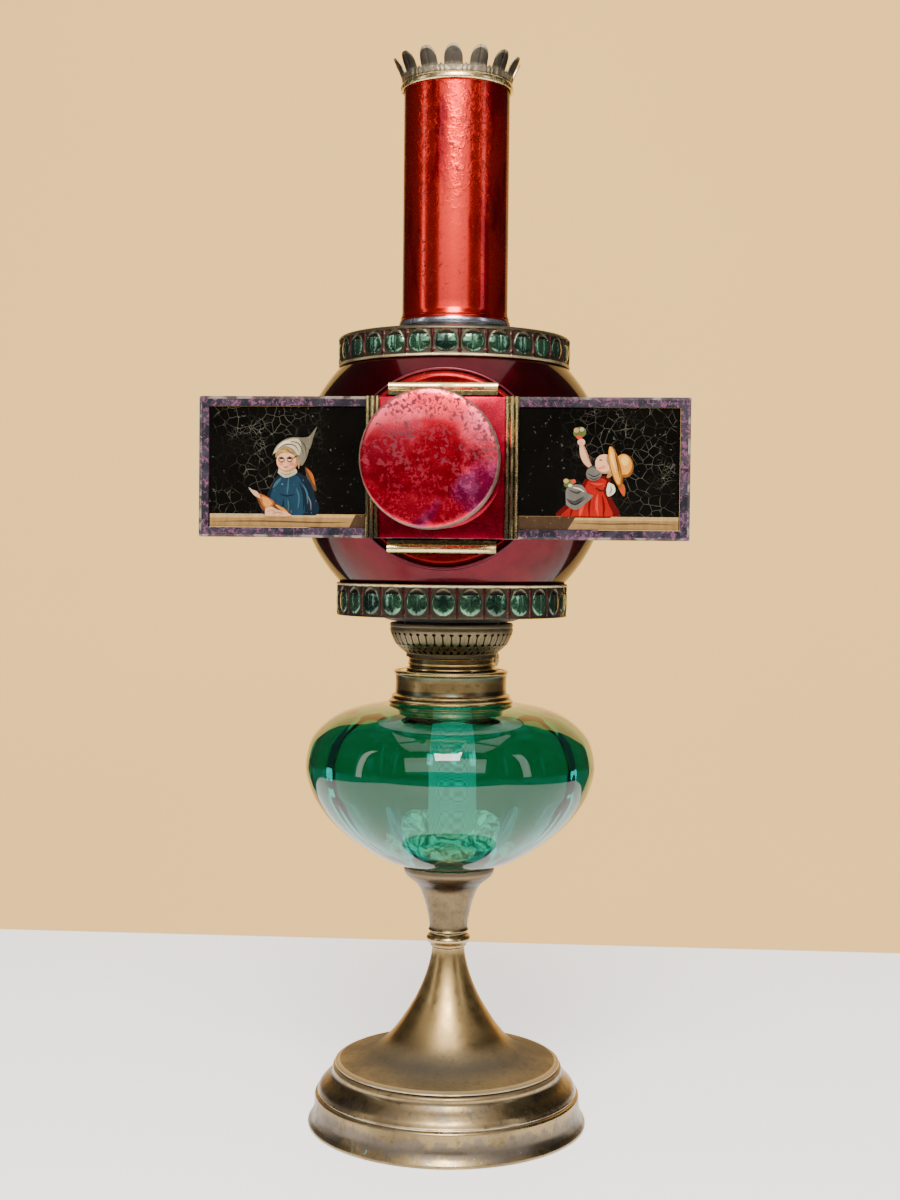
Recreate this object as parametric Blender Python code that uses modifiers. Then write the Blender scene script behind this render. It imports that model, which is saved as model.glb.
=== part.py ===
"""Table oil lamp with a round picture-projector housing in place of its chimney and shade.

Metres, +Z up. The origin is the centre of the foot, on the table. The projector's lens looks along -Y.
"""

import math

import bmesh
import bpy
from mathutils import Matrix, Vector

# ---------------------------------------------------------------- driving dimensions
FOOT_RADIUS = 0.0750
FOOT_TIER_Z = 0.0175  # the step between the two tiers of the foot
FOOT_CONE_Z = 0.0310  # where the trumpet sits on the tiers
STEM_NECK_Z = 0.0950
STEM_NECK_RADIUS = 0.0088
KNOP_Z = 0.1003
CUP_TOP_Z = 0.1400
CUP_RADIUS = 0.0244

FONT_RADIUS = 0.0780
FONT_WIDEST_Z = 0.1950
FONT_BOTTOM_Z = 0.1382
FONT_TOP_Z = 0.2275
FONT_WALL = 0.0030
FONT_NECK_RADIUS = 0.0268
FONT_NECK_BORE = 0.0240
FONT_NECK_TOP_Z = 0.2375

WAD_RADIUS = (0.0135, 0.0340)  # the ring of loose cotton round the wick's foot, inside and outside

COLLAR_RADIUS = 0.0299
COLLAR_TOP_Z = 0.2455
COLLAR_BORE = 0.0244

DRUM_RADIUS = 0.0228
DRUM_Z = (0.2459, 0.2524)
WICK_TUBE_RADIUS = 0.0130
WICK_TUBE_Z = (0.2300, 0.2920)
DRAUGHT_TUBE_RADIUS = 0.0092
WICK_RADIUS = 0.0115
WICK_THICKNESS = 0.0016
WICK_Z = (0.1560, 0.2945)
SPINDLE_X = 0.0160
SPINDLE_Z = 0.2493
SPINDLE_RADIUS = 0.0014
KNOB_RADIUS = 0.0085
KNOB_Y = 0.0410

BASKET_RADIUS = 0.0329
BASKET_Z = (0.2528, 0.2712)
PRONG_RADIUS = 0.0276
PRONG_Z = (0.2602, 0.2700)
SLEEVE_RADIUS = 0.0258
ADAPTER_RADIUS = 0.0380
ADAPTER_Z = 0.2746

BALL_RADIUS = 0.0835
OPTIC_Z = 0.3505  # centre of the ball and height of the optical axis
BAND_RADIUS = 0.0623
LOWER_BAND_Z = (0.2752, 0.2927)
UPPER_BAND_Z = (0.4075, 0.4235)
SHEET = 0.0010  # tinplate, drawn thick enough to mesh
GAP = 0.0004  # between pieces that touch or slide

CHIMNEY_RADIUS = 0.0283
CHIMNEY_Z = (0.4292, 0.5580)
CROWN_TOP_Z = 0.5712
CROWN_RADIUS = 0.0334
CROWN_LEAVES = 14

# distances forward of the lamp's axis, along -Y
COLLAR_FRONT = 0.0715
COLLAR_TUBE_RADIUS = 0.0500
DISC_FRONT = 0.0707
SLIDE_BACK = 0.0752
SLIDE_THICKNESS = 0.0036
SLIDE_LENGTH = 0.2430
SLIDE_HEIGHT = 0.0700
SLIDE_BORDER = 0.0045
PLATE_BACK = 0.0795
PLATE_WIDTH = 0.0616
PLATE_HEIGHT = 0.0695
STRIP_WIDTH = 0.0070
SOCKET_RADIUS = 0.0280
SOCKET_FRONT = 0.1120
DRAW_RADIUS = 0.0260
HEAD_RADIUS = 0.0306
HEAD_FRONT = 0.1570
CAP_RADIUS = 0.0314
CAP_FRONT = 0.1600

BIG, MIDDLE, SMALL = 28, 20, 12  # sides of large, middling and small round pieces

# ---------------------------------------------------------------- scene and materials
for old in list(bpy.data.objects):
    bpy.data.objects.remove(old)

lamp_collection = bpy.data.collections.new("oil_lamp")
cutter_collection = bpy.data.collections.new("cutters")
for group in (lamp_collection, cutter_collection):
    bpy.context.scene.collection.children.link(group)


def finish(name, colour, roughness, metallic, transmission=0.0):
    """A Principled material."""
    material = bpy.data.materials.new(name)
    material.use_nodes = True
    shader = material.node_tree.nodes["Principled BSDF"]
    shader.inputs["Base Color"].default_value = (*colour, 1.0)
    shader.inputs["Roughness"].default_value = roughness
    shader.inputs["Metallic"].default_value = metallic
    shader.inputs["Transmission Weight"].default_value = transmission
    material.diffuse_color = (*colour, 1.0)
    return material


AGED_BRASS = finish("aged_brass", (0.42, 0.30, 0.15), 0.38, 1.0)
GILT_BRASS = finish("gilt_brass", (0.70, 0.55, 0.25), 0.30, 1.0)
RED_LACQUER = finish("red_lacquer", (0.35, 0.02, 0.03), 0.25, 0.8)
BARE_TIN = finish("bare_tin", (0.60, 0.60, 0.62), 0.35, 1.0)
DARK_TIN = finish("dark_tin", (0.08, 0.08, 0.09), 0.60, 0.6)
SILVERED = finish("silvered", (0.85, 0.85, 0.85), 0.10, 1.0)
GREEN_GLASS = finish("green_glass", (0.05, 0.45, 0.30), 0.05, 0.0, 1.0)
CLEAR_GLASS = finish("clear_glass", (0.90, 0.92, 0.92), 0.03, 0.0, 1.0)
PAINTED_GLASS = finish("painted_glass", (0.02, 0.02, 0.02), 0.25, 0.0)
MARBLED_PAPER = finish("marbled_paper", (0.16, 0.11, 0.16), 0.80, 0.0)
IRON = finish("iron", (0.12, 0.11, 0.10), 0.60, 0.8)
PLASTER = finish("plaster", (0.75, 0.72, 0.65), 0.90, 0.0)
COTTON = finish("cotton", (0.80, 0.77, 0.68), 0.95, 0.0)


# ---------------------------------------------------------------- modelling helpers
def add_object(name, mesh, material, collection=lamp_collection):
    thing = bpy.data.objects.new(name, mesh)
    collection.objects.link(thing)
    if material:
        mesh.materials.append(material)
    return thing


def point_forward(thing):
    """Turns a piece made about Z so that its +Z runs along the optical axis, forward of the lamp's axis."""
    thing.rotation_euler = (math.radians(90), 0, 0)
    thing.location = (0, 0, OPTIC_Z)
    return thing


def shade(mesh):
    mesh.shade_smooth()
    mesh.set_sharp_from_angle(angle=math.radians(40))


def add_screw(thing, sides):
    turn = thing.modifiers.new("turn", "SCREW")
    turn.axis = "Z"
    turn.angle = math.radians(360)
    turn.steps = sides
    turn.render_steps = sides
    turn.use_merge_vertices = True
    turn.merge_threshold = 0.00002
    turn.use_smooth_shade = True


def turned(name, material, profile, sides=MIDDLE):
    """A solid of revolution about Z. The profile is a closed outline of (radius, height) points, in either order;
    points on the axis close a disc or a rod."""
    area = sum(
        a[0] * b[1] - b[0] * a[1] for a, b in zip(profile, profile[1:] + profile[:1])
    )
    points = list(reversed(profile)) if area > 0 else list(profile)
    on_axis = [i for i, point in enumerate(points) if point[0] == 0]
    closed = not on_axis
    if on_axis:
        # start just after the axis run, so that the outline opens along the axis
        while not (points[0][0] == 0 and points[-1][0] == 0):
            points.append(points.pop(0))
    mesh = bpy.data.meshes.new(name)
    edges = [(i, i + 1) for i in range(len(points) - 1)]
    if closed:
        edges.append((len(points) - 1, 0))
    mesh.from_pydata([(r, 0, z) for r, z in points], edges, [])
    thing = add_object(name, mesh, material)
    add_screw(thing, sides)
    return thing


def spun_shell(name, material, outer_profile, wall, sides=BIG):
    """Thin sheet spun about Z: an open line of (radius, height) points down its outer side, given a wall inwards."""
    mesh = bpy.data.meshes.new(name)
    edges = [(i, i + 1) for i in range(len(outer_profile) - 1)]
    mesh.from_pydata([(r, 0, z) for r, z in outer_profile], edges, [])
    thing = add_object(name, mesh, material)
    add_screw(thing, sides)
    skin = thing.modifiers.new("wall", "SOLIDIFY")
    skin.thickness = wall
    skin.offset = -1
    skin.use_even_offset = True
    return thing


def tube(name, material, radius, wall, low, high, sides=MIDDLE):
    inner = radius - wall
    return turned(name, material, [(radius, low), (radius, high), (inner, high), (inner, low)], sides)


def disc(name, material, radius, low, high, bore=0.0, sides=MIDDLE):
    return turned(name, material, [(bore, low), (radius, low), (radius, high), (bore, high)], sides)


def block(name, material, size, centre, collection=lamp_collection, bevel=0.0):
    mesh = bpy.data.meshes.new(name)
    shape = bmesh.new()
    bmesh.ops.create_cube(shape, size=1.0)
    bmesh.ops.scale(shape, vec=size, verts=shape.verts)
    shape.to_mesh(mesh)
    shape.free()
    thing = add_object(name, mesh, material, collection)
    thing.location = centre
    if bevel:
        round_edges = thing.modifiers.new("round", "BEVEL")
        round_edges.width = bevel
        round_edges.segments = 1
    return thing


def cylinder_cutter(name, radius, length, centre, rotation=(0, 0, 0), sides=MIDDLE):
    mesh = bpy.data.meshes.new(name)
    shape = bmesh.new()
    bmesh.ops.create_cone(
        shape, cap_ends=True, segments=sides, radius1=radius, radius2=radius, depth=length
    )
    shape.to_mesh(mesh)
    shape.free()
    thing = add_object(name, mesh, None, cutter_collection)
    thing.location = centre
    thing.rotation_euler = rotation
    return hide_cutter(thing)


def block_cutter(name, size, centre, turn=0.0):
    thing = block(name, None, size, centre, cutter_collection)
    thing.rotation_euler = (0, 0, turn)
    return hide_cutter(thing)


def hide_cutter(thing):
    thing.hide_render = True
    thing.display_type = "WIRE"
    return thing


def cut(thing, cutter):
    step = thing.modifiers.new("cut_" + cutter.name, "BOOLEAN")
    step.operation = "DIFFERENCE"
    step.solver = "EXACT"
    step.object = cutter


def extruded(name, material, outline, thickness):
    """A flat closed outline of (x, y) points given a thickness upwards from z = 0."""
    mesh = bpy.data.meshes.new(name)
    shape = bmesh.new()
    face = shape.faces.new([shape.verts.new((x, y, 0)) for x, y in outline])
    swept = bmesh.ops.extrude_face_region(shape, geom=[face])
    raised = [item for item in swept["geom"] if isinstance(item, bmesh.types.BMVert)]
    bmesh.ops.translate(shape, vec=(0, 0, thickness), verts=raised)
    bmesh.ops.recalc_face_normals(shape, faces=shape.faces)
    shape.to_mesh(mesh)
    shape.free()
    return add_object(name, mesh, material)


def arc(radius, start, end, steps, centre=(0, 0)):
    """Points (x, y) along an arc, from one angle to another, in degrees."""
    angles = [math.radians(start + (end - start) * i / steps) for i in range(steps + 1)]
    return [(centre[0] + radius * math.cos(a), centre[1] + radius * math.sin(a)) for a in angles]


# ---------------------------------------------------------------- foot and stem
def make_foot():
    spun_shell(
        "foot_plinth",
        AGED_BRASS,
        [
            (FOOT_RADIUS - 0.0180, FOOT_CONE_Z + 0.0004),
            (FOOT_RADIUS - 0.0126, FOOT_CONE_Z - 0.0022),
            (FOOT_RADIUS - 0.0083, FOOT_CONE_Z - 0.0072),
            (FOOT_RADIUS - 0.0050, FOOT_TIER_Z + 0.0015),
            (FOOT_RADIUS - 0.0044, FOOT_TIER_Z - 0.0030),
            (FOOT_RADIUS - 0.0022, 0.0060),
            (FOOT_RADIUS, 0.0022),
            (FOOT_RADIUS, 0.0),
        ],
        0.0012,
    )
    spun_shell(
        "foot_cone",
        AGED_BRASS,
        [
            (STEM_NECK_RADIUS, STEM_NECK_Z),
            (0.0105, 0.0850),
            (0.0145, 0.0735),
            (0.0208, 0.0615),
            (0.0310, 0.0474),
            (0.0370, 0.0418),
            (0.0430, 0.0382),
            (0.0500, 0.0362),
            (0.0584, 0.0346),
            (0.0615, FOOT_CONE_Z + 0.0012),
        ],
        0.0010,
    )
    disc("base_cover", BARE_TIN, FOOT_RADIUS - 0.0030, 0.0, 0.0008, sides=BIG)
    disc("base_weight", IRON, 0.0560, 0.0120, 0.0240, bore=0.0032, sides=MIDDLE)
    tube("tie_rod", IRON, 0.0025, 0.0012, 0.0040, 0.1200, SMALL)
    disc("tie_nut", BARE_TIN, 0.0070, 0.0060, 0.0110, bore=0.0034, sides=6)
    turned(
        "stem_knop",
        AGED_BRASS,
        [
            (0.0032, KNOP_Z - 0.0048),
            (0.0090, KNOP_Z - 0.0048),
            (0.0100, KNOP_Z - 0.0030),
            (0.0118, KNOP_Z - 0.0010),
            (0.0118, KNOP_Z + 0.0012),
            (0.0100, KNOP_Z + 0.0034),
            (0.0032, KNOP_Z + 0.0034),
        ],
    )
    spun_shell(
        "stem_cup",
        AGED_BRASS,
        [
            (CUP_RADIUS, CUP_TOP_Z),
            (CUP_RADIUS - 0.0006, CUP_TOP_Z - 0.0042),
            (0.0214, 0.1328),
            (0.0172, 0.1296),
            (0.0150, 0.1262),
            (0.0120, 0.1175),
            (0.0102, 0.1080),
            (0.0100, KNOP_Z + 0.0038),
        ],
        0.0010,
    )
    disc("peg_cement", PLASTER, 0.0114, 0.1210, 0.1312, sides=MIDDLE)


# ---------------------------------------------------------------- glass font and its collar
def make_font():
    outer = [
        (FONT_NECK_RADIUS, FONT_NECK_TOP_Z),
        (FONT_NECK_RADIUS, FONT_TOP_Z + 0.0004),
        (0.0401, FONT_TOP_Z - 0.0007),
        (0.0529, 0.2240),
        (0.0650, 0.2188),
        (0.0742, 0.2090),
        (FONT_RADIUS, FONT_WIDEST_Z),
        (0.0762, 0.1838),
        (0.0680, 0.1688),
        (0.0540, 0.1552),
        (0.0369, 0.1443),
        (CUP_RADIUS - 0.0008, FONT_BOTTOM_Z + 0.0022),
        (0.0180, FONT_BOTTOM_Z - 0.0002),
        (0.0150, 0.1318),
        (0.0, 0.1318),
    ]
    inner = [
        (0.0, 0.1440),
        (0.0200, 0.1442),
        (0.0500, 0.1575),
        (0.0650, 0.1716),
        (0.0733, 0.1850),
        (FONT_RADIUS - FONT_WALL, FONT_WIDEST_Z),
        (0.0716, 0.2070),
        (0.0630, 0.2162),
        (0.0515, 0.2210),
        (0.0390, 0.2236),
        (FONT_NECK_BORE, 0.2246),
        (FONT_NECK_BORE, FONT_NECK_TOP_Z),
    ]
    turned("font", GREEN_GLASS, outer + inner, BIG)
    turned(
        "font_collar",
        AGED_BRASS,
        [
            (COLLAR_RADIUS - 0.0015, 0.2286),
            (COLLAR_RADIUS + 0.0035, 0.2279),
            (COLLAR_RADIUS + 0.0034, 0.2298),
            (COLLAR_RADIUS + 0.0016, 0.2314),
            (COLLAR_RADIUS, 0.2332),
            (COLLAR_RADIUS, 0.2436),
            (COLLAR_RADIUS + 0.0006, 0.2446),
            (COLLAR_RADIUS, COLLAR_TOP_Z),
            (COLLAR_BORE, COLLAR_TOP_Z),
            (COLLAR_BORE, 0.2385),
            (COLLAR_BORE + 0.0011, 0.2385),
            (COLLAR_BORE + 0.0011, 0.2440),
            (COLLAR_RADIUS - 0.0015, 0.2440),
        ],
        BIG,
    )
    turned(
        "cotton_wad",
        COTTON,
        [
            (WAD_RADIUS[0], 0.1452),
            (WAD_RADIUS[0] + 0.0060, 0.1455),
            (WAD_RADIUS[1] - 0.0020, 0.1505),
            (WAD_RADIUS[1], 0.1535),
            (WAD_RADIUS[1] - 0.0040, 0.1590),
            (WAD_RADIUS[0] + 0.0050, 0.1575),
            (WAD_RADIUS[0], 0.1540),
        ],
    )
    disc("collar_cement", PLASTER, 0.0278, 0.2302, 0.2372, bore=FONT_NECK_RADIUS + GAP, sides=BIG)


# ---------------------------------------------------------------- burner
def make_burner():
    disc("burner_plug", AGED_BRASS, COLLAR_BORE - 0.0007, 0.2385, DRUM_Z[0] - GAP, bore=0.0222, sides=BIG)
    burner_drum = turned(
        "burner_drum",
        AGED_BRASS,
        [
            (0.0138, DRUM_Z[0]),
            (DRUM_RADIUS + 0.0014, DRUM_Z[0]),
            (DRUM_RADIUS + 0.0014, DRUM_Z[0] + 0.0008),
            (DRUM_RADIUS, DRUM_Z[0] + 0.0012),
            (DRUM_RADIUS, 0.2482),
            (DRUM_RADIUS + 0.0006, 0.2490),
            (DRUM_RADIUS, 0.2498),
            (DRUM_RADIUS, DRUM_Z[1]),
            (DRUM_RADIUS - 0.0010, DRUM_Z[1]),
            (DRUM_RADIUS - 0.0010, DRUM_Z[0] + 0.0010),
            (0.0138, DRUM_Z[0] + 0.0010),
        ],
        BIG,
    )
    spindle_way = cylinder_cutter(
        "spindle_way", 0.0025, 0.03, (SPINDLE_X, 0.024, SPINDLE_Z), (math.radians(90), 0, 0), SMALL
    )
    cut(burner_drum, spindle_way)
    wick_tube = tube("wick_tube", AGED_BRASS, WICK_TUBE_RADIUS, 0.0008, *WICK_TUBE_Z)
    for side, y in (("front", -0.0045), ("rear", 0.0045)):
        way = block_cutter("wheel_way_" + side, (0.0104, 0.0026, 0.0110), (SPINDLE_X, y, SPINDLE_Z))
        cut(wick_tube, way)
        cut(burner_drum, way)
    duct_way = block_cutter("duct_way", (0.0060, 0.0056, 0.0056), (-0.0125, 0, SPINDLE_Z))
    cut(wick_tube, duct_way)
    tube("draught_tube", AGED_BRASS, DRAUGHT_TUBE_RADIUS, 0.0008, 0.2450, 0.2905)
    block("air_duct", AGED_BRASS, (0.0060, 0.0048, 0.0042), (-0.0132, 0, SPINDLE_Z + 0.0004))
    bush = disc("spindle_bush", AGED_BRASS, 0.0021, -0.0034, 0.0034, bore=SPINDLE_RADIUS + 0.0003, sides=SMALL)
    bush.rotation_euler = (math.radians(90), 0, 0)
    bush.location = (SPINDLE_X, 0.0165, SPINDLE_Z)


def make_wick_spindle():
    axis = bpy.data.objects.new("spindle_axis", None)
    lamp_collection.objects.link(axis)
    axis.location = (SPINDLE_X, 0, SPINDLE_Z)
    axis.rotation_euler = (math.radians(-90), 0, 0)  # the empty's +Z runs back along +Y
    spindle = turned(
        "wick_spindle",
        AGED_BRASS,
        [(0, -0.0085), (SPINDLE_RADIUS, -0.0085), (SPINDLE_RADIUS, KNOB_Y - 0.0030), (0, KNOB_Y - 0.0030)],
        SMALL,
    )
    spindle.parent = axis
    for side, y in (("front", -0.0045), ("rear", 0.0045)):
        teeth, root, tip = 8, 0.0036, 0.0047
        outline = []
        for i in range(teeth * 2):
            radius = tip if i % 2 else root
            angle = math.pi * i / teeth
            outline.append((radius * math.cos(angle), radius * math.sin(angle)))
        wheel = extruded("wick_wheel_" + side, AGED_BRASS, outline, 0.0010)
        bore = cylinder_cutter("wheel_bore_" + side, SPINDLE_RADIUS + 0.0003, 0.004, (0, 0, 0.0005), sides=SMALL)
        for piece in (wheel, bore):
            piece.parent = axis
        wheel.location = (0, 0, y - 0.0005)
        bore.location = (0, 0, y)
        cut(wheel, bore)
    knob = turned(
        "wick_knob",
        AGED_BRASS,
        [
            (0, KNOB_Y - 0.0026),
            (KNOB_RADIUS - 0.0008, KNOB_Y - 0.0026),
            (KNOB_RADIUS, KNOB_Y - 0.0018),
            (KNOB_RADIUS, KNOB_Y + 0.0010),
            (KNOB_RADIUS - 0.0008, KNOB_Y + 0.0018),
            (0, KNOB_Y + 0.0012),
        ],
        MIDDLE,
    )
    knob.parent = axis


def make_wick():
    gap_half = 40  # degrees each side of the slit that the air duct passes through
    start, end = 180 + gap_half, 540 - gap_half
    outline = arc(WICK_RADIUS, start, end, 20)
    outline += arc(WICK_RADIUS - WICK_THICKNESS, end, start, 20)
    wick = extruded("wick", COTTON, outline, WICK_Z[1] - WICK_Z[0])
    wick.location = (0, 0, WICK_Z[0])


# ---------------------------------------------------------------- air basket with its prongs
def make_basket():
    spun_shell(
        "basket",
        AGED_BRASS,
        [
            (BASKET_RADIUS, BASKET_Z[1]),
            (BASKET_RADIUS - 0.0003, BASKET_Z[1] - 0.0042),
            (BASKET_RADIUS - 0.0016, BASKET_Z[1] - 0.0077),
            (BASKET_RADIUS - 0.0034, BASKET_Z[1] - 0.0112),
            (0.0260, BASKET_Z[1] - 0.0146),
            (0.0239, BASKET_Z[1] - 0.0166),
            (0.0237, BASKET_Z[0]),
        ],
        0.0008,
    )
    prong_ring = turned(
        "prong_ring",
        AGED_BRASS,
        [
            (0.0142, PRONG_Z[0]),
            (0.0279, PRONG_Z[0]),
            (0.0279, PRONG_Z[0] + 0.0008),
            (PRONG_RADIUS, PRONG_Z[0] + 0.0008),
            (PRONG_RADIUS, PRONG_Z[1]),
            (PRONG_RADIUS - 0.0008, PRONG_Z[1]),
            (PRONG_RADIUS - 0.0008, PRONG_Z[0] + 0.0008),
            (0.0142, PRONG_Z[0] + 0.0008),
        ],
        BIG,
    )
    slots = 4  # each cutter crosses the ring and parts two gaps between prongs
    for i in range(slots):
        middle = (0, 0, PRONG_Z[1] - 0.0020)
        slot = block_cutter(f"prong_gap_{i}", (0.070, 0.0060, 0.0100), middle, math.pi * i / slots)
        cut(prong_ring, slot)
    turned(
        "adapter_ring",
        DARK_TIN,
        [
            (SLEEVE_RADIUS - 0.0010, PRONG_Z[0] + 0.0014),
            (SLEEVE_RADIUS, PRONG_Z[0] + 0.0014),
            (SLEEVE_RADIUS, 0.2722),
            (0.0330, 0.2722),
            (ADAPTER_RADIUS, ADAPTER_Z - 0.0006),
            (ADAPTER_RADIUS, ADAPTER_Z),
            (0.0330, ADAPTER_Z),
            (0.0330, 0.2732),
            (SLEEVE_RADIUS, 0.2732),
            (SLEEVE_RADIUS, 0.2806),
            (SLEEVE_RADIUS - 0.0010, 0.2806),
        ],
        BIG,
    )


# ---------------------------------------------------------------- projector housing
def ball_profile(low, high, steps):
    """Points down the outside of the ball between two heights above the table."""
    top = math.asin((high - OPTIC_Z) / BALL_RADIUS)
    bottom = math.asin((low - OPTIC_Z) / BALL_RADIUS)
    angles = [top + (bottom - top) * i / steps for i in range(steps + 1)]
    return [(BALL_RADIUS * math.cos(a), OPTIC_Z + BALL_RADIUS * math.sin(a)) for a in angles]


def make_housing():
    ball_low, ball_high = LOWER_BAND_Z[1] - 0.0030, UPPER_BAND_Z[0] + 0.0040
    ball = spun_shell("ball_shell", RED_LACQUER, ball_profile(ball_low, ball_high, 8), SHEET)
    window = cylinder_cutter(
        "window", COLLAR_TUBE_RADIUS + GAP, 0.06, (0, -0.075, OPTIC_Z), (math.radians(90), 0, 0), BIG
    )
    cut(ball, window)

    wall = 0.0012
    turned(
        "lower_band",
        GILT_BRASS,
        [
            (BAND_RADIUS, LOWER_BAND_Z[0]),
            (BAND_RADIUS, LOWER_BAND_Z[1] - 0.0035),
            (BAND_RADIUS - 0.0004, LOWER_BAND_Z[1] - 0.0010),
            (BAND_RADIUS - wall, LOWER_BAND_Z[1]),
            (BAND_RADIUS - wall, LOWER_BAND_Z[0]),
        ],
        BIG,
    )
    disc(
        "bottom_plate",
        BARE_TIN,
        BAND_RADIUS - wall - GAP,
        ADAPTER_Z + 0.0006,
        ADAPTER_Z + 0.0016,
        bore=SLEEVE_RADIUS + 0.0006,
        sides=BIG,
    )
    turned(
        "upper_band",
        GILT_BRASS,
        [
            (BAND_RADIUS - wall, UPPER_BAND_Z[0] + 0.0004),
            (BAND_RADIUS - 0.0004, UPPER_BAND_Z[0]),
            (BAND_RADIUS, UPPER_BAND_Z[0] + 0.0020),
            (BAND_RADIUS, UPPER_BAND_Z[1] - 0.0030),
            (BAND_RADIUS - 0.0010, UPPER_BAND_Z[1] - 0.0008),
            (BAND_RADIUS - 0.0030, UPPER_BAND_Z[1]),
            (BAND_RADIUS - 0.0034, UPPER_BAND_Z[1] - 0.0012),
            (BAND_RADIUS - wall - 0.0010, UPPER_BAND_Z[1] - 0.0036),
            (BAND_RADIUS - wall, UPPER_BAND_Z[1] - 0.0050),
        ],
        BIG,
    )
    socket_outer = CHIMNEY_RADIUS - 0.0013
    turned(
        "top_plate",
        DARK_TIN,
        [
            (BAND_RADIUS - 0.0042, UPPER_BAND_Z[1] - 0.0010),
            (0.0450, UPPER_BAND_Z[1] + 0.0014),
            (socket_outer + GAP, UPPER_BAND_Z[1] + 0.0026),
            (socket_outer + GAP, UPPER_BAND_Z[1] + 0.0016),
            (0.0450, UPPER_BAND_Z[1] + 0.0004),
            (BAND_RADIUS - 0.0042, UPPER_BAND_Z[1] - 0.0020),
        ],
        BIG,
    )
    turned(
        "chimney_socket",
        BARE_TIN,
        [
            (socket_outer - 0.0008, 0.4210),
            (socket_outer, 0.4210),
            (socket_outer, 0.4268),
            (CHIMNEY_RADIUS + 0.0040, 0.4264),
            (CHIMNEY_RADIUS + 0.0040, 0.4270),
            (CHIMNEY_RADIUS + 0.0010, 0.4284),
            (socket_outer, 0.4284),
            (socket_outer, 0.4420),
            (socket_outer - 0.0008, 0.4420),
        ],
        BIG,
    )
    reflector_depth, reflector_radius = 0.0090, 0.0340
    reflector = spun_shell(
        "reflector",
        SILVERED,
        [
            (0.0, reflector_depth),
            (reflector_radius * 0.35, reflector_depth * 0.90),
            (reflector_radius * 0.70, reflector_depth * 0.54),
            (reflector_radius, 0.0),
        ],
        0.0008,
        MIDDLE,
    )
    reflector.rotation_euler = (math.radians(-90), 0, 0)  # hollow side faces the flame
    reflector.location = (0, 0.0560, OPTIC_Z)
    block("reflector_clip", BARE_TIN, (0.0100, 0.0155, 0.0012), (0, 0.07325, OPTIC_Z), bevel=0.0003)


# ---------------------------------------------------------------- slide stage and condenser
def make_stage():
    point_forward(
        turned(
            "front_collar",
            RED_LACQUER,
            [
                (COLLAR_TUBE_RADIUS - 0.0010, 0.0560),
                (COLLAR_TUBE_RADIUS, 0.0560),
                (COLLAR_TUBE_RADIUS, COLLAR_FRONT - 0.0016),
                (COLLAR_TUBE_RADIUS + 0.0006, COLLAR_FRONT - 0.0008),
                (COLLAR_TUBE_RADIUS, COLLAR_FRONT),
                (COLLAR_TUBE_RADIUS - 0.0010, COLLAR_FRONT),
            ],
            BIG,
        )
    )
    light_hole = 0.0290
    point_forward(
        disc("stage_disc", RED_LACQUER, COLLAR_TUBE_RADIUS - 0.0014, DISC_FRONT - SHEET, DISC_FRONT, light_hole, BIG)
    )
    lens_radius = 0.0315
    point_forward(tube("condenser_cell", BARE_TIN, lens_radius + 0.0014, 0.0010, 0.0440, DISC_FRONT - 0.0014))
    point_forward(
        turned(
            "condenser_lens",
            CLEAR_GLASS,
            [
                (0, 0.0480),
                (lens_radius * 0.50, 0.0494),
                (lens_radius * 0.85, 0.0526),
                (lens_radius, 0.0550),
                (lens_radius, 0.0580),
                (lens_radius * 0.85, 0.0604),
                (lens_radius * 0.50, 0.0636),
                (0, 0.0650),
            ],
        )
    )
    point_forward(disc("condenser_ring", BARE_TIN, lens_radius, 0.0470, 0.0478, bore=lens_radius - 0.0030))

    rail_height, rail_length = 0.0066, 0.0540
    rail_z = SLIDE_HEIGHT / 2 + 0.0006 + rail_height / 2
    rail_back = COLLAR_FRONT + GAP
    rail_depth = PLATE_BACK - GAP - rail_back
    for side, sign in (("top", 1), ("bottom", -1)):
        middle = (0, -(rail_back + rail_depth / 2), OPTIC_Z + sign * rail_z)
        block("rail_" + side, GILT_BRASS, (rail_length, rail_depth, rail_height), middle, bevel=0.0016)

    plate = block(
        "front_plate",
        RED_LACQUER,
        (PLATE_WIDTH + 2 * STRIP_WIDTH, SHEET, PLATE_HEIGHT),
        (0, -(PLATE_BACK + SHEET / 2), OPTIC_Z),
    )
    plate_hole = cylinder_cutter(
        "plate_hole", SOCKET_RADIUS - 0.0014, 0.02, (0, -PLATE_BACK, OPTIC_Z), (math.radians(90), 0, 0), MIDDLE
    )
    cut(plate, plate_hole)
    strip_depth = 0.0034
    strip_front = PLATE_BACK + SHEET + GAP
    for side, sign in (("left", -1), ("right", 1)):
        block(
            "strip_" + side,
            GILT_BRASS,
            (STRIP_WIDTH, strip_depth, PLATE_HEIGHT),
            (sign * (PLATE_WIDTH + STRIP_WIDTH) / 2, -(strip_front + strip_depth / 2), OPTIC_Z),
            bevel=0.0012,
        )
    make_springs()
    point_forward(
        turned(
            "lens_socket",
            RED_LACQUER,
            [
                (SOCKET_RADIUS - 0.0009, strip_front),
                (SOCKET_RADIUS + 0.0020, strip_front),
                (SOCKET_RADIUS + 0.0020, strip_front + 0.0008),
                (SOCKET_RADIUS, strip_front + 0.0012),
                (SOCKET_RADIUS, SOCKET_FRONT),
                (SOCKET_RADIUS - 0.0009, SOCKET_FRONT),
            ],
            BIG,
        )
    )


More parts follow.
